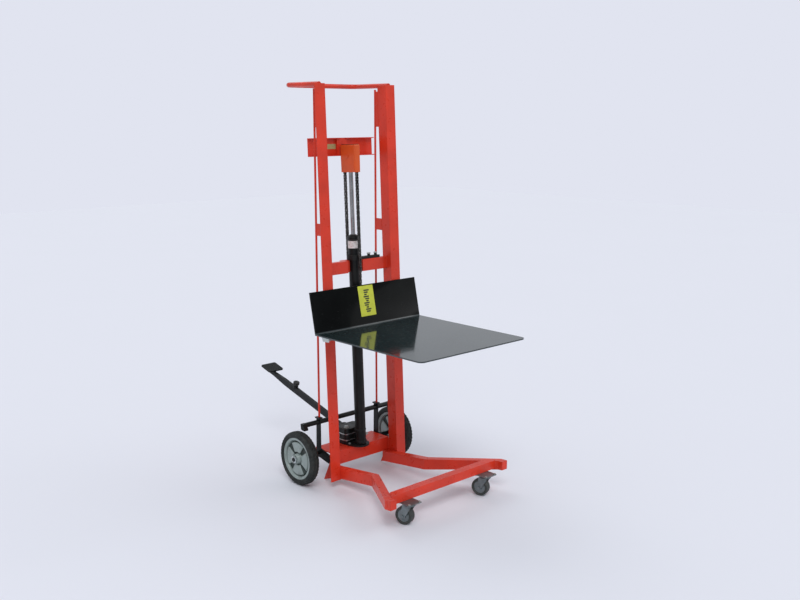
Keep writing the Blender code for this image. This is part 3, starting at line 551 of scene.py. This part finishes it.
# ---------------------------------------------------------------- rear wheels
# Sections are (radius, height over the wheel's middle plane), for one half of the wheel.
TYRE_SECTION = [(TYRE_RADIUS - 0.0002, 0.0), (TYRE_RADIUS, 0.0022), (TYRE_RADIUS - 0.0002, 0.0034),
                (0.1244, 0.0038), (0.1244, 0.0052), (0.1266, 0.0056), (0.1264, 0.0092),
                (0.1240, 0.0097), (0.1238, 0.0112), (0.1262, 0.0116), (0.1258, 0.0140),
                (0.1246, 0.0172), (0.1222, 0.0200), (0.1196, 0.0218), (0.1170, 0.0229),
                (0.1163, 0.0236), (0.1140, 0.0238), (0.1132, 0.0232), (0.1090, 0.0236),
                (0.1062, 0.0230), (0.1055, 0.0222), (0.1036, 0.0214), (0.1020, 0.0204),
                (0.1008, 0.0196), (RIM_RADIUS + 0.0003, 0.0186)]
HUB_SECTION = [(0.0100, 0.0250), (0.0128, 0.0268), (0.0135, 0.0270), (0.0208, 0.0270),
               (0.0216, 0.0262), (0.0236, 0.0110), (0.0262, 0.0055)]
RIM_SECTION = [(0.0842, 0.0060), (0.0860, 0.0120), (0.0885, 0.0172), (0.0900, 0.0180),
               (0.0965, 0.0180), (0.0978, 0.0188), (0.0992, 0.0184)]
WEB_RADII = [0.0290, 0.0315, 0.0340, 0.0410, 0.0490, 0.0570, 0.0650, 0.0720, 0.0765, 0.0790,
             0.0813]
WEB_HALF = 0.0045                       # half the thickness of the web in its recess
PAD_RISE = 0.0105                       # how far a raised pad stands out of the recess
PAD_RADII = (0.0275, 0.0812)            # a pad's inner and outer end
# Between these radii the recess is coloured dark as painted shade.
PAINTED_SHADE_RADII = (0.0265, 0.0835)         # the recess is dark between these
LUGS = 45                               # notches around each shoulder of the tyre
LUG_NOTCH = 0.0022                      # their depth
LUG_RADII = (0.1195, 0.1266)            # they touch only the section's points between these
LUG_HEIGHT = 0.012                      # and beyond this height
SPLIT_PIN_X = 0.3325


def tyre_shape(radius, height, angle):
    """Shoulder lugs: short notches pressed into the edge of the tread."""
    if LUG_RADII[0] < radius < LUG_RADII[1] and abs(height) > LUG_HEIGHT:
        step = (angle / (2 * math.pi) * LUGS + (0.25 if height > 0 else 0.75)) % 1.0
        if step < 0.35:
            radius -= LUG_NOTCH
    return radius, height


def clamp(value):
    """Keep a value between 0 and 1."""
    return min(1.0, max(0.0, value))


def pad_share(radius, angle):
    """1 on the disc's four raised pads, 0 in the X-shaped recess between them."""
    lobe = math.cos(2 * angle) ** 2
    ends = clamp((radius - PAD_RADII[0]) / 0.006) * clamp((PAD_RADII[1] - radius) / 0.004)
    return clamp((lobe - 0.06) / 0.12) * ends


def disc_shape(radius, height, angle):
    """Raise the pads out of the web, between hub and rim."""
    if HUB_SECTION[-1][0] < radius < RIM_SECTION[0][0]:
        height = math.copysign(WEB_HALF + PAD_RISE * pad_share(radius, angle), height)
    return radius, height


def build_rear_wheels():
    """A treaded tyre, a disc with its hub and a painted shade in its recess, and a split pin through
    the axle, on each side.
    """
    tread = [(r, -h) for r, h in reversed(TYRE_SECTION)][:-1] + TYRE_SECTION
    face = HUB_SECTION + [(r, WEB_HALF) for r in WEB_RADII] + RIM_SECTION
    disc_section = face + [(r, -h) for r, h in reversed(face)]
    for name, side in SIDES:
        place = along((side, 0, 0), (side * WHEEL_X, AXLE.y, AXLE.z))
        tyre = piece("treaded_tyre_" + name, moved(lathe(tread, 180, shape=tyre_shape), place),
                     TYRE, "rear_wheel_" + name, angle=28)
        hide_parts("rear_tyre_" + name)
        bm = moved(lathe(disc_section, 96, shape=disc_shape), place)
        disc = piece("wheel_disc_" + name, bm, DISC, "rear_wheel_" + name, angle=40, second=RECESS_SHADE)
        # Faces in the recess take the second material, the painted shade.
        for polygon in disc.data.polygons:
            middle = polygon.center - place.translation
            radius = math.hypot(middle.y, middle.z)
            angle = math.atan2(middle.z, middle.y)
            if PAINTED_SHADE_RADII[0] < radius < PAINTED_SHADE_RADII[1] and pad_share(radius, angle) < 0.5:
                polygon.material_index = 1
        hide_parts("rear_wheel_hub_" + name)
        centre = Vector((side * SPLIT_PIN_X, AXLE.y, AXLE.z))
        pin = [centre + Vector(step)
               for step in ((0, 0, 0.0150), (0, 0, -0.0145), (0, 0.0045, -0.0175))]
        piece("split_pin_" + name, pipe(pin, 0.0014, 10), BOLT, "frame")


# ---------------------------------------------------------------- chain
def plate_pairs(*spans):
    """For each span in x, the pair of link plates on both sides of the chain's middle."""
    return [[(low, high), (-high, -low)] for low, high in spans]


LOOP_PLATES = plate_pairs((0.0047, 0.00555), (0.0056, 0.0065))
LOOP_HALF_DEPTH = 0.0052
LOOP_BACK = (-0.0054, -0.0040)          # depth of the strip behind each link of the loop
LOOP_END_GAP = 0.006                    # from the loop's end to its last pin
TAIL_PLATES = plate_pairs((0.0026, 0.0040), (0.0009, 0.0024))
TAIL_HALF_DEPTH = 0.0040
TAIL_SHIFT = 0.0014                     # a tail's links sit this far out, clear of the loop's back
TAIL_END_GAP = 0.005


def link_plate(length, half_depth, low_x, high_x):
    """A figure-of-eight link plate from the pin at the origin up Z, its thickness along X."""
    waist = half_depth * 0.70
    outline = arc((0, length), half_depth, -math.pi * 0.12, math.pi * 1.12, 8)
    outline += [(-waist, length * 0.5)]
    outline += arc((0, 0), half_depth, math.pi * 0.88, math.pi * 2.12, 8)
    outline += [(waist, length * 0.5)]
    bm = extrude(outline, low_x, high_x)
    return moved(bm, Matrix(((0, 0, 1, 0), (1, 0, 0, 0), (0, 1, 0, 0), (0, 0, 0, 1))))


def chain_run(points, normals, plates, pin, half_depth, shift, back=None):
    """Links from pin to pin. plates gives the (low x, high x) spans for even and odd links.

    pin is (radius, half length, offset along the normal). back gives the (low, high) depth of a
    strip that closes the inner side of each link.
    """
    parts = []
    side = Vector((1, 0, 0))
    for i, (a, b) in enumerate(zip(points, points[1:])):
        way = b - a
        out = side.cross(way).normalized()
        basis = Matrix((side, out, way.normalized())).transposed().to_4x4()
        basis.translation = a + out * shift
        for low, high in plates[i % 2]:
            parts.append(moved(link_plate(way.length, half_depth, low, high), basis))
        if back:
            strip = block((-0.0046, back[0], way.length * 0.08), (0.0046, back[1], way.length * 0.92))
            parts.append(moved(strip, basis))
    radius, half, offset = pin
    section = [(radius * 0.8, -half), (radius, -half + 0.0003), (radius, half - 0.0003),
               (radius * 0.8, half)]
    for point, normal in zip(points, normals):
        place = point + normal * (shift + offset)
        parts.append(moved(lathe(section, 10, closed=False), along(side, place)))
    return joined(parts)


def chain_path():
    """Pin places along the loop in the mast frame, from the front end over the sheave."""
    front, rear = RAM_V - CHAIN_RADIUS, RAM_V + CHAIN_RADIUS
    up = SHEAVE_W - LOOP_ENDS[0]
    over = math.pi * CHAIN_RADIUS
    total = up + over + SHEAVE_W - LOOP_ENDS[1]
    pinned = total - 2 * LOOP_END_GAP
    count = round(pinned / CHAIN_PITCH)
    points, normals = [], []
    for i in range(count + 1):
        s = LOOP_END_GAP + pinned * i / count
        if s < up:
            points.append(Vector((0, front, LOOP_ENDS[0] + s)))
            normals.append(Vector((0, -1, 0)))
        elif s < up + over:
            t = math.pi - (s - up) / CHAIN_RADIUS
            out = Vector((0, math.cos(t), math.sin(t)))
            points.append(Vector((0, RAM_V, SHEAVE_W)) + out * CHAIN_RADIUS)
            normals.append(out)
        else:
            points.append(Vector((0, rear, SHEAVE_W - (s - up - over))))
            normals.append(Vector((0, 1, 0)))
    return points, normals


def build_chain():
    """The loop that moves with the ram, and the two tails that telescope inside it."""
    points, normals = chain_path()
    bm = chain_run(points, normals, LOOP_PLATES, (0.0009, 0.0050, -0.0044), LOOP_HALF_DEPTH, 0.0,
                   back=LOOP_BACK)
    loop = piece("chain_loop_links", moved(bm, MAST), CHAIN, "ram")
    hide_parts("chain_loop")

    for end, body, sign, (low, high) in (("front", "carriage", -1, FRONT_TAIL),
                                         ("rear", "frame", 1, REAR_TAIL)):
        pinned = high - low - 2 * TAIL_END_GAP
        count = round(pinned / CHAIN_PITCH)
        heights = [low + TAIL_END_GAP + pinned / count * i for i in range(count + 1)]
        if sign > 0:
            heights.reverse()
        points = [Vector((0, RAM_V + sign * CHAIN_RADIUS, w)) for w in heights]
        normals = [Vector((0, sign, 0))] * len(points)
        bm = chain_run(points, normals, TAIL_PLATES, (0.0016, 0.0041, 0.0), TAIL_HALF_DEPTH,
                       TAIL_SHIFT)
        tail = piece("chain_tail_links_" + end, moved(bm, MAST), CHAIN, body)
        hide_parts("chain_tail_" + end)


# ---------------------------------------------------------------- cylinder and crosshead
# A name that ends in W is a height along the mast, one that ends in V a depth behind its front.
RAM_AXIS = MAST @ Matrix.Translation((0, RAM_V, 0))
LABEL_W = (1.100, 1.134)
WIPER_W = (1.1590, 1.1640)
PORT_PLACE = (0.0240, 0.0484, 0.195)
CLAMP_TOP_W = 1.0663
ANCHOR_FACE_V = 0.0963
CHANNEL_FACE_V = 0.1249
LID_W = (1.5745, 1.5772)


def ring_band(low, high, inner, outer, edge=0.0006):
    """A ring around the ram's axis with chamfered outer corners."""
    return moved(lathe([(inner, low), (outer - edge, low), (outer, low + edge),
                        (outer, high - edge), (outer - edge, high), (inner, high)], 56), RAM_AXIS)


def build_cylinder():
    """The label, rings, rod wiper and oil port of the cylinder."""
    piece("cylinder_label", ring_band(*LABEL_W, 0.0252, 0.0260, 0.0001), BLANK, "frame")
    lips = [ring_band(1.1382, 1.1420, 0.0262, 0.0279), ring_band(1.1500, 1.1534, 0.0262, 0.0279)]
    piece("gland_rings", joined(lips), CAST, "frame")
    low, high = WIPER_W
    wiper = lathe([(0.0101, low), (0.0165, low), (0.0160, low + 0.0028), (0.0112, high),
                   (0.0101, high)], 40)
    piece("rod_wiper", moved(wiper, RAM_AXIS), GRIP, "frame")
    foot = [ring_band(0.1640, 0.1760, 0.0250, 0.0285, 0.0012),
            ring_band(0.2250, 0.2310, 0.0250, 0.0272, 0.0008)]
    piece("cylinder_foot_rings", joined(foot), CAST, "frame")
    port = lathe([(0.0042, 0.0), (0.0090, 0.0), (0.0090, 0.010), (0.0065, 0.0112),
                  (0.0065, 0.0180), (0.0042, 0.0180)], 6)
    piece("cylinder_port", moved(port, along((1, 0, 0), PORT_PLACE)), BOLT, "frame", 0.0004)


def build_crosshead():
    """Fasteners on the crossmember, and the label, clips, lid and welds of the crosshead."""
    nuts = [hex_bolt(0.0085, (x, RAM_V - 0.010, CLAMP_TOP_W), (0, 0, 1), washer=False)
            for x in (0.082, 0.124)]
    piece("clamp_nuts", moved(joined(nuts), MAST), BOLT, "frame", 0.0003)
    feet = [hex_bolt(0.0055, (side * 0.0235, ANCHOR_FACE_V, 1.017), (0, 1, 0)) for _, side in SIDES]
    piece("anchor_bolts", moved(joined(feet), MAST), BOLT, "frame", 0.0003)
    tag = extrude(round_rectangle(0.030, 0.0115, 0.0015, (-0.0610, 1.569)), 0.0, 0.0006)
    piece("channel_label", moved(tag, MAST @ facing_front(CHANNEL_FACE_V)), OLIVE, "ram")
    clips = [moved(circlip(0.0058, 0.0095, 0.0012),
                   along((side, 0, 0), (side * 0.0186, RAM_V, SHEAVE_W))) for _, side in SIDES]
    piece("sheave_clips", moved(joined(clips), MAST), ORANGE, "ram", 0.0002)
    lid = extrude(round_rectangle(0.0150, 0.0500, 0.0090, (0, RAM_V)), *LID_W)
    piece("housing_lid", moved(lid, MAST), SATIN, "ram", 0.0008)
    beads = []
    for _, side in SIDES:
        x = side * 0.0188
        for w in (1.5262, 1.6068):
            beads.append(weld([(x, 0.1082, w), (x, 0.1138, w)], 0.0016))
        x = side * 0.0190
        beads.append(weld([(x, 0.1138, 1.5300), (x, 0.1138, 1.5740)], 0.0022))
    piece("crosshead_welds", moved(joined(beads), MAST), RED, "ram")


# ---------------------------------------------------------------- frame welds
WEB_DEPTH = 0.057                       # the upright's web, front to rear
WEB_FACE_X = 0.1770                     # its inner face
CROSSMEMBER_W = (0.9898, 1.0452)
GUSSETS_Z = ((1.65, 1.812), (1.165, 1.220))
GUSSET_REAR_Y = 0.1350
DECK_TOP = 0.1466
LEG_TOP = 0.0812
LEG_CAP_HALF = 0.0139
LEG_CAPS = {"front": (0.3445, (-0.5656, -0.5640), (0.1046, 0.1394)),    # x, (y, y), (z, z)
            "rear": (0.1600, (0.0510, 0.0526), (0.0317, 0.0766))}


def web_rear_y(z):
    """Where the web's rear edge is at a height above the floor."""
    return MAST_FOOT_Y + WEB_DEPTH / math.cos(MAST_TILT) + z * math.tan(MAST_TILT)


def gusset_beads(side, low, high):
    """Beads along both faces of a gusset, at the web and at the truss rod."""
    beads = []
    web_low = web_rear_y(low) + 0.0004
    web_high = web_rear_y(high) + 0.0004
    for x in (side * 0.1778, side * 0.1828):
        beads.append(weld([(x, web_low, low + 0.003), (x, web_high, high - 0.003)], 0.0019))
    for x in (side * 0.1766, side * 0.1834):
        beads.append(weld([(x, GUSSET_REAR_Y, low + 0.002), (x, GUSSET_REAR_Y, high - 0.002)], 0.0018))
    return beads


def build_frame_welds():
    """Beads where crossmember, gussets, deck plate, legs and crossbar meet."""
    in_mast, in_world = [], []
    bottom, top = CROSSMEMBER_W
    for _, side in SIDES:
        x = side * WEB_FACE_X
        in_mast.append(weld([(x, 0.0290, bottom + 0.0007), (x, 0.0290, top - 0.0007)]))
        in_mast.append(weld([(x, 0.0300, top), (x, 0.0560, top)]))
        in_mast.append(weld([(x, 0.0300, bottom), (x, 0.0560, bottom)]))
        in_world.append(weld([(x, 0.0470, LEG_TOP + 0.0003), (x, 0.0470, 0.1410)]))
        in_world.append(weld([(x, 0.0480, DECK_TOP), (x, 0.0600, DECK_TOP)], 0.0022))
        for low, high in GUSSETS_Z:
            in_world += gusset_beads(side, low, high)
        rear, front = (side * 0.2940, -0.4855), (side * 0.3202, -0.5285)
        in_world.append(weld([(*rear, 0.1040), (*rear, 0.1370), (*front, 0.1408),
                              (*front, 0.1040)], 0.0022))
        in_world.append(weld([(side * 0.1440, 0.0455, LEG_TOP), (side * 0.1765, 0.0455, LEG_TOP)],
                             0.0024))
    piece("mast_welds", moved(joined(in_mast), MAST), RED, "frame")
    piece("base_welds", joined(in_world), RED, "frame")


def build_leg_caps():
    """Plates that close both open ends of each base leg."""
    for name, side in SIDES:
        for end, (x, y, z) in LEG_CAPS.items():
            plate = block((side * x - LEG_CAP_HALF, y[0], z[0]), (side * x + LEG_CAP_HALF, y[1], z[1]))
            piece("leg_cap_" + end + "_" + name, plate, RED, "frame", 0.0004)


# ---------------------------------------------------------------- platform
DECAL_HALF = (0.0455, 0.0705)
DECAL_CENTRE = (0.001, 0.1115)
DECAL_THICKNESS = 0.0005
PRINT_ROWS = 11
PRINT_START = 0.0620
PRINT_STEP = 0.0098
DECK_UNDERSIDE = 0.7430
RIB_FACES = (0.1468, 0.1532)
SIDE_PLATE_FACES = (0.2388, 0.2447)
STUB_X = 0.1972
STUBS = ((0.0244, 0.895), (-0.0194, 0.722))         # (v, w) of the roller stubs


def build_decal():
    """The yellow sheet on the back plate, with wavy bars in the place of writing."""
    stand = BACK @ facing_front(-0.0001)
    sheet = extrude(round_rectangle(*DECAL_HALF, 0.003, DECAL_CENTRE), 0.0, DECAL_THICKNESS)
    piece("back_decal", moved(sheet, stand), YELLOW, "carriage")
    marks = []
    for row in range(PRINT_ROWS):
        half = 0.0120 + 0.0050 * math.sin(row * 2.1)
        centre = (0.001 + 0.0040 * math.sin(row * 1.3 + 0.6), PRINT_START + row * PRINT_STEP)
        marks.append(extrude(round_rectangle(half, 0.0034, 0.0022, centre),
                             DECAL_THICKNESS, DECAL_THICKNESS + 0.0002))
    piece("back_decal_marks", moved(joined(marks), stand), PRINT, "carriage")


def build_platform():
    """The platform's decal and welds, and the clips on the roller stubs."""
    build_decal()
    beads = []
    for _, side in SIDES:
        for start in (-0.090, -0.200, -0.310, -0.420, -0.520):
            for x in (side * face for face in RIB_FACES):
                beads.append(weld([(x, start, DECK_UNDERSIDE), (x, start - 0.045, DECK_UNDERSIDE)],
                                  0.0020))
        x, z = side * 0.0252, DECK_UNDERSIDE + 0.0002
        for start in (-0.025, -0.065):
            beads.append(weld([(x, start, z), (x, start - 0.025, z)], 0.0018))
        for x in (side * face for face in SIDE_PLATE_FACES):
            beads.append(weld([(x, -0.0155, 0.770), (x, 0.0140, 0.915)], 0.0018))
    piece("platform_welds", joined(beads), GLOSS, "carriage")
    clips = [moved(circlip(0.0042, 0.0105, 0.0010), along((side, 0, 0), (side * STUB_X, v, w)))
             for _, side in SIDES for v, w in STUBS]
    piece("roller_clips", moved(joined(clips), MAST), BOLT, "carriage", 0.0002)


# ---------------------------------------------------------------- pump and pedal
RESERVOIR_HALF = (0.060, 0.0425)
RESERVOIR_CORNER = 0.014
RESERVOIR_Y = 0.1295
RESERVOIR_TOP = 0.2250
RESERVOIR_BANDS = ((0.1660, 0.1720), (0.1960, 0.2015))
PUMP_FOOT_TOP = 0.1548
BARREL_PLACE = (0, 0.220, 0.1792)
PEDAL_PIN_END = 0.0206
PAD_TOP = 0.0267
PAD_GRID = (0.0078, 0.0082)             # spacing of the chequer bars across and along the pad


def reservoir_band(low, high):
    """A raised band around the reservoir with chamfered edges."""
    rings = []
    for grow, z in ((0.0004, low), (0.0022, low + 0.0012), (0.0022, high - 0.0012), (0.0004, high)):
        outline = round_rectangle(RESERVOIR_HALF[0] + grow, RESERVOIR_HALF[1] + grow,
                                  RESERVOIR_CORNER + grow, (0, RESERVOIR_Y))
        rings.append([Vector((x, y, z)) for x, y in outline])
    return shell(rings)


def build_pump():
    """Bands, filler and drain plugs, foot bolts, pedal pin clips and the barrel's wiper."""
    for number, (low, high) in enumerate(RESERVOIR_BANDS, 1):
        piece("reservoir_band_%d" % number, reservoir_band(low, high), STEEL, "frame")
    fittings = [hex_bolt(0.0100, (-0.036, 0.112, RESERVOIR_TOP), (0, 0, 1)),
                hex_bolt(0.0060, (0.040, 0.112, RESERVOIR_TOP), (0, 0, 1)),
                hex_bolt(0.0070, (RESERVOIR_HALF[0], 0.1350, 0.1850), (1, 0, 0)),
                hex_bolt(0.0070, (-RESERVOIR_HALF[0], 0.1400, 0.1850), (-1, 0, 0))]
    fittings += [hex_bolt(0.0055, (side * 0.0445, 0.0780, PUMP_FOOT_TOP), (0, 0, 1))
                 for _, side in SIDES]
    piece("pump_bolts", joined(fittings), BOLT, "frame", 0.0003)
    clips = [moved(circlip(0.0058, 0.0098, 0.0013),
                   along((side, 0, 0), (side * PEDAL_PIN_END, PEDAL_PIVOT.y, PEDAL_PIVOT.z)))
             for _, side in SIDES]
    piece("pedal_pin_clips", joined(clips), BOLT, "frame", 0.0002)
    wiper = lathe([(0.0065, 0.0), (0.0120, 0.0), (0.0120, 0.0022), (0.0095, 0.0034),
                   (0.0065, 0.0034)], 32)
    piece("barrel_wiper", moved(wiper, Matrix.Translation(BARREL_PLACE)), GRIP, "frame")


def build_pedal():
    """Chequer bars and welds of the tread pad, and the ribbed release knob."""
    bars = []
    for row in range(-4, 5):
        for column in range(-5, 6):
            lean = 0.7 if (row + column) % 2 else -0.7
            place = Matrix.Translation((column * PAD_GRID[0], PAD_Y + row * PAD_GRID[1], 0))
            bar = extrude(round_rectangle(0.0030, 0.0010, 0.0009, steps=2), PAD_TOP, PAD_TOP + 0.0010)
            bars.append(moved(bar, PEDAL @ place @ Matrix.Rotation(lean, 4, "Z")))
    piece("pad_chequer", joined(bars), SATIN, "pedal", 0.0003)
    beads = [weld([(side * 0.0073, PAD_Y - 0.011, 0.0182), (side * 0.0073, PAD_Y + 0.011, 0.0182)],
                  0.0015) for _, side in SIDES]
    piece("pad_welds", moved(joined(beads), PEDAL), SATIN, "pedal")

    def grip_shape(radius, height, angle):
        if radius > 0.0158 and 0.0320 < height < 0.0430:
            radius -= 0.0011 * (0.5 + 0.5 * math.cos(angle * 18))
        return radius, height

    knob = [(0.0040, 0.0186), (0.0079, 0.0186), (0.0079, 0.0301), (0.0157, 0.0311),
            (0.0165, 0.0323), (0.0165, 0.0370), (0.0165, 0.0418), (0.0161, 0.0436),
            (0.0140, 0.0458), (0.0095, 0.0467), (0.0040, 0.0470)]
    bm = lathe(knob, 108, closed=False, shape=grip_shape)
    button = piece("release_knob", moved(bm, PEDAL @ Matrix.Translation((0, KNOB_Y, 0))), GRIP,
                   "button", angle=50)
    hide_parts("release_button")


# ---------------------------------------------------------------- casters
CASTER_SECTION = [(0.0043, 0.0186), (0.0078, 0.0186), (0.0092, 0.0178), (0.0112, 0.0176),
                  (0.0118, 0.0130), (0.0135, 0.0122), (0.0262, 0.0118), (0.0276, 0.0124),
                  (0.0284, 0.0160), (0.0300, 0.0169), (0.0306, 0.0165), (0.0365, 0.0170),
                  (0.0384, 0.0162), (0.0394, 0.0140), (0.0399, 0.0090), (CASTER_RADIUS, 0.0030)]
CASTER_HUB_RADIUS = 0.0270
FORK_FACE_X = 0.0223
RACE_Z = 0.0868
PLATE_BOLT_X = 0.0290
PLATE_BOLT_ENDS = ((-0.5760, 0.1028, 1), (-0.5160, 0.0993, -1))     # (y, z, which way the head points)


def build_casters():
    """A wheel with its hub, axle nuts, swivel race and plate bolts on each side."""
    section = CASTER_SECTION + [(r, -h) for r, h in reversed(CASTER_SECTION)]
    for name, (x, y) in CASTER_PLACES.items():
        base = Matrix.Translation((x, y, 0)) @ Matrix.Rotation(CASTER_HEADING, 4, "Z")
        hub = base @ Matrix.Translation((0, CASTER_TRAIL, CASTER_RADIUS))
        wheel = piece("caster_roller_" + name, moved(lathe(section, 72), hub @ along((1, 0, 0))),
                      TREAD, "caster_wheel_" + name, second=CASTER)
        spin = (hub.to_3x3() @ Vector((1, 0, 0))).normalized()
        for polygon in wheel.data.polygons:
            arm = polygon.center - hub.translation
            if (arm - spin * arm.dot(spin)).length < CASTER_HUB_RADIUS:
                polygon.material_index = 1
        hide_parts("caster_wheel_" + name)
        nuts = [hex_bolt(0.0058, (sx * FORK_FACE_X, CASTER_TRAIL, CASTER_RADIUS), (sx, 0, 0), False)
                for sx in (-1, 1)]
        piece("caster_nuts_" + name, moved(joined(nuts), base), BOLT, "caster_swivel_" + name, 0.0003)
        race = lathe([(0.0225, 0.0), (0.0262, 0.0006), (0.0268, 0.0022), (0.0258, 0.0040),
                      (0.0225, 0.0044)], 40)
        piece("swivel_race_" + name, moved(race, Matrix.Translation((x, y, RACE_Z))), CASTER,
              "caster_swivel_" + name)
        heads = [hex_bolt(0.0052, (x + sx * PLATE_BOLT_X, bolt_y, z), (0, 0, way))
                 for bolt_y, z, way in PLATE_BOLT_ENDS for sx in (-1, 1)]
        piece("caster_bolts_" + name, joined(heads), BOLT, "frame", 0.0003)


# ---------------------------------------------------------------- stage
FLOOR_HALF = 14
FLOOR_THICKNESS = 0.01
SUNS = (("key", (-2.6, -3.4, 5.0), 28, 1.00),       # name, place, spread in degrees, strength
        ("fill", (3.6, -2.2, 3.2), 45, 0.50),
        ("rim", (0.6, 4.2, 4.6), 40, 0.45))


def build_floor():
    """A pale studio floor."""
    section = ((-FLOOR_HALF, 0), (FLOOR_HALF, 0), (FLOOR_HALF, -FLOOR_THICKNESS),
               (-FLOOR_HALF, -FLOOR_THICKNESS))
    floor = shell([[Vector((x, y, z)) for y, z in section] for x in (-FLOOR_HALF, FLOOR_HALF)])
    mesh = bpy.data.meshes.new("studio_floor")
    floor.to_mesh(mesh)
    floor.free()
    s = Surface("studio_floor")
    tone = s.mix(s.ramp(s.noise(0.8, 2), 0.3, 0.7, 0.0, 0.15), PALE, tuple(c * 0.97 for c in PALE))
    s.set(Base_Color=tone, Roughness=0.85)
    mesh.materials.append(s.material)
    obj = bpy.data.objects.new("studio_floor", mesh)
    bpy.context.scene.collection.objects.link(obj)


def build_light():
    """A plain backdrop that only the camera sees, soft light all round, and three suns."""
    world = bpy.data.worlds.new("studio")
    world.use_nodes = True
    tree = world.node_tree
    seen = tree.nodes.new("ShaderNodeBackground")
    seen.inputs["Color"].default_value = (*BACKDROP, 1.0)
    glow = tree.nodes["Background"]
    glow.inputs["Color"].default_value = (0.90, 0.93, 1.0, 1.0)
    glow.inputs["Strength"].default_value = 0.62
    switch = tree.nodes.new("ShaderNodeMixShader")
    tree.links.new(tree.nodes.new("ShaderNodeLightPath").outputs["Is Camera Ray"], switch.inputs[0])
    tree.links.new(glow.outputs[0], switch.inputs[1])
    tree.links.new(seen.outputs[0], switch.inputs[2])
    tree.links.new(switch.outputs[0], tree.nodes["World Output"].inputs["Surface"])
    bpy.context.scene.world = world
    for name, place, spread, power in SUNS:
        light = bpy.data.lights.new(name, "SUN")
        light.angle = math.radians(spread)
        light.energy = power
        lamp = bpy.data.objects.new(name, light)
        lamp.location = place
        lamp.rotation_euler = (-Vector(place)).to_track_quat("-Z", "Y").to_euler()
        bpy.context.scene.collection.objects.link(lamp)
    bpy.context.scene.view_settings.view_transform = "Standard"


def build_camera():
    """The view of the whole machine from its front left."""
    data = bpy.data.cameras.new("camera")
    data.lens = CAMERA_LENS
    data.sensor_width = 36.0
    data.shift_x = -0.0025
    data.clip_end = 60.0
    camera = bpy.data.objects.new("camera", data)
    camera.location = Vector(CAMERA_PLACE) - DATUM
    camera.rotation_euler = Vector(CAMERA_FORWARD).to_track_quat("-Z", "Y").to_euler()
    bpy.context.scene.collection.objects.link(camera)
    bpy.context.scene.camera = camera


build_handle()
build_rear_wheels()
build_chain()
build_cylinder()
build_crosshead()
build_frame_welds()
build_leg_caps()
build_platform()
build_pump()
build_pedal()
build_casters()
build_floor()
build_light()
build_camera()
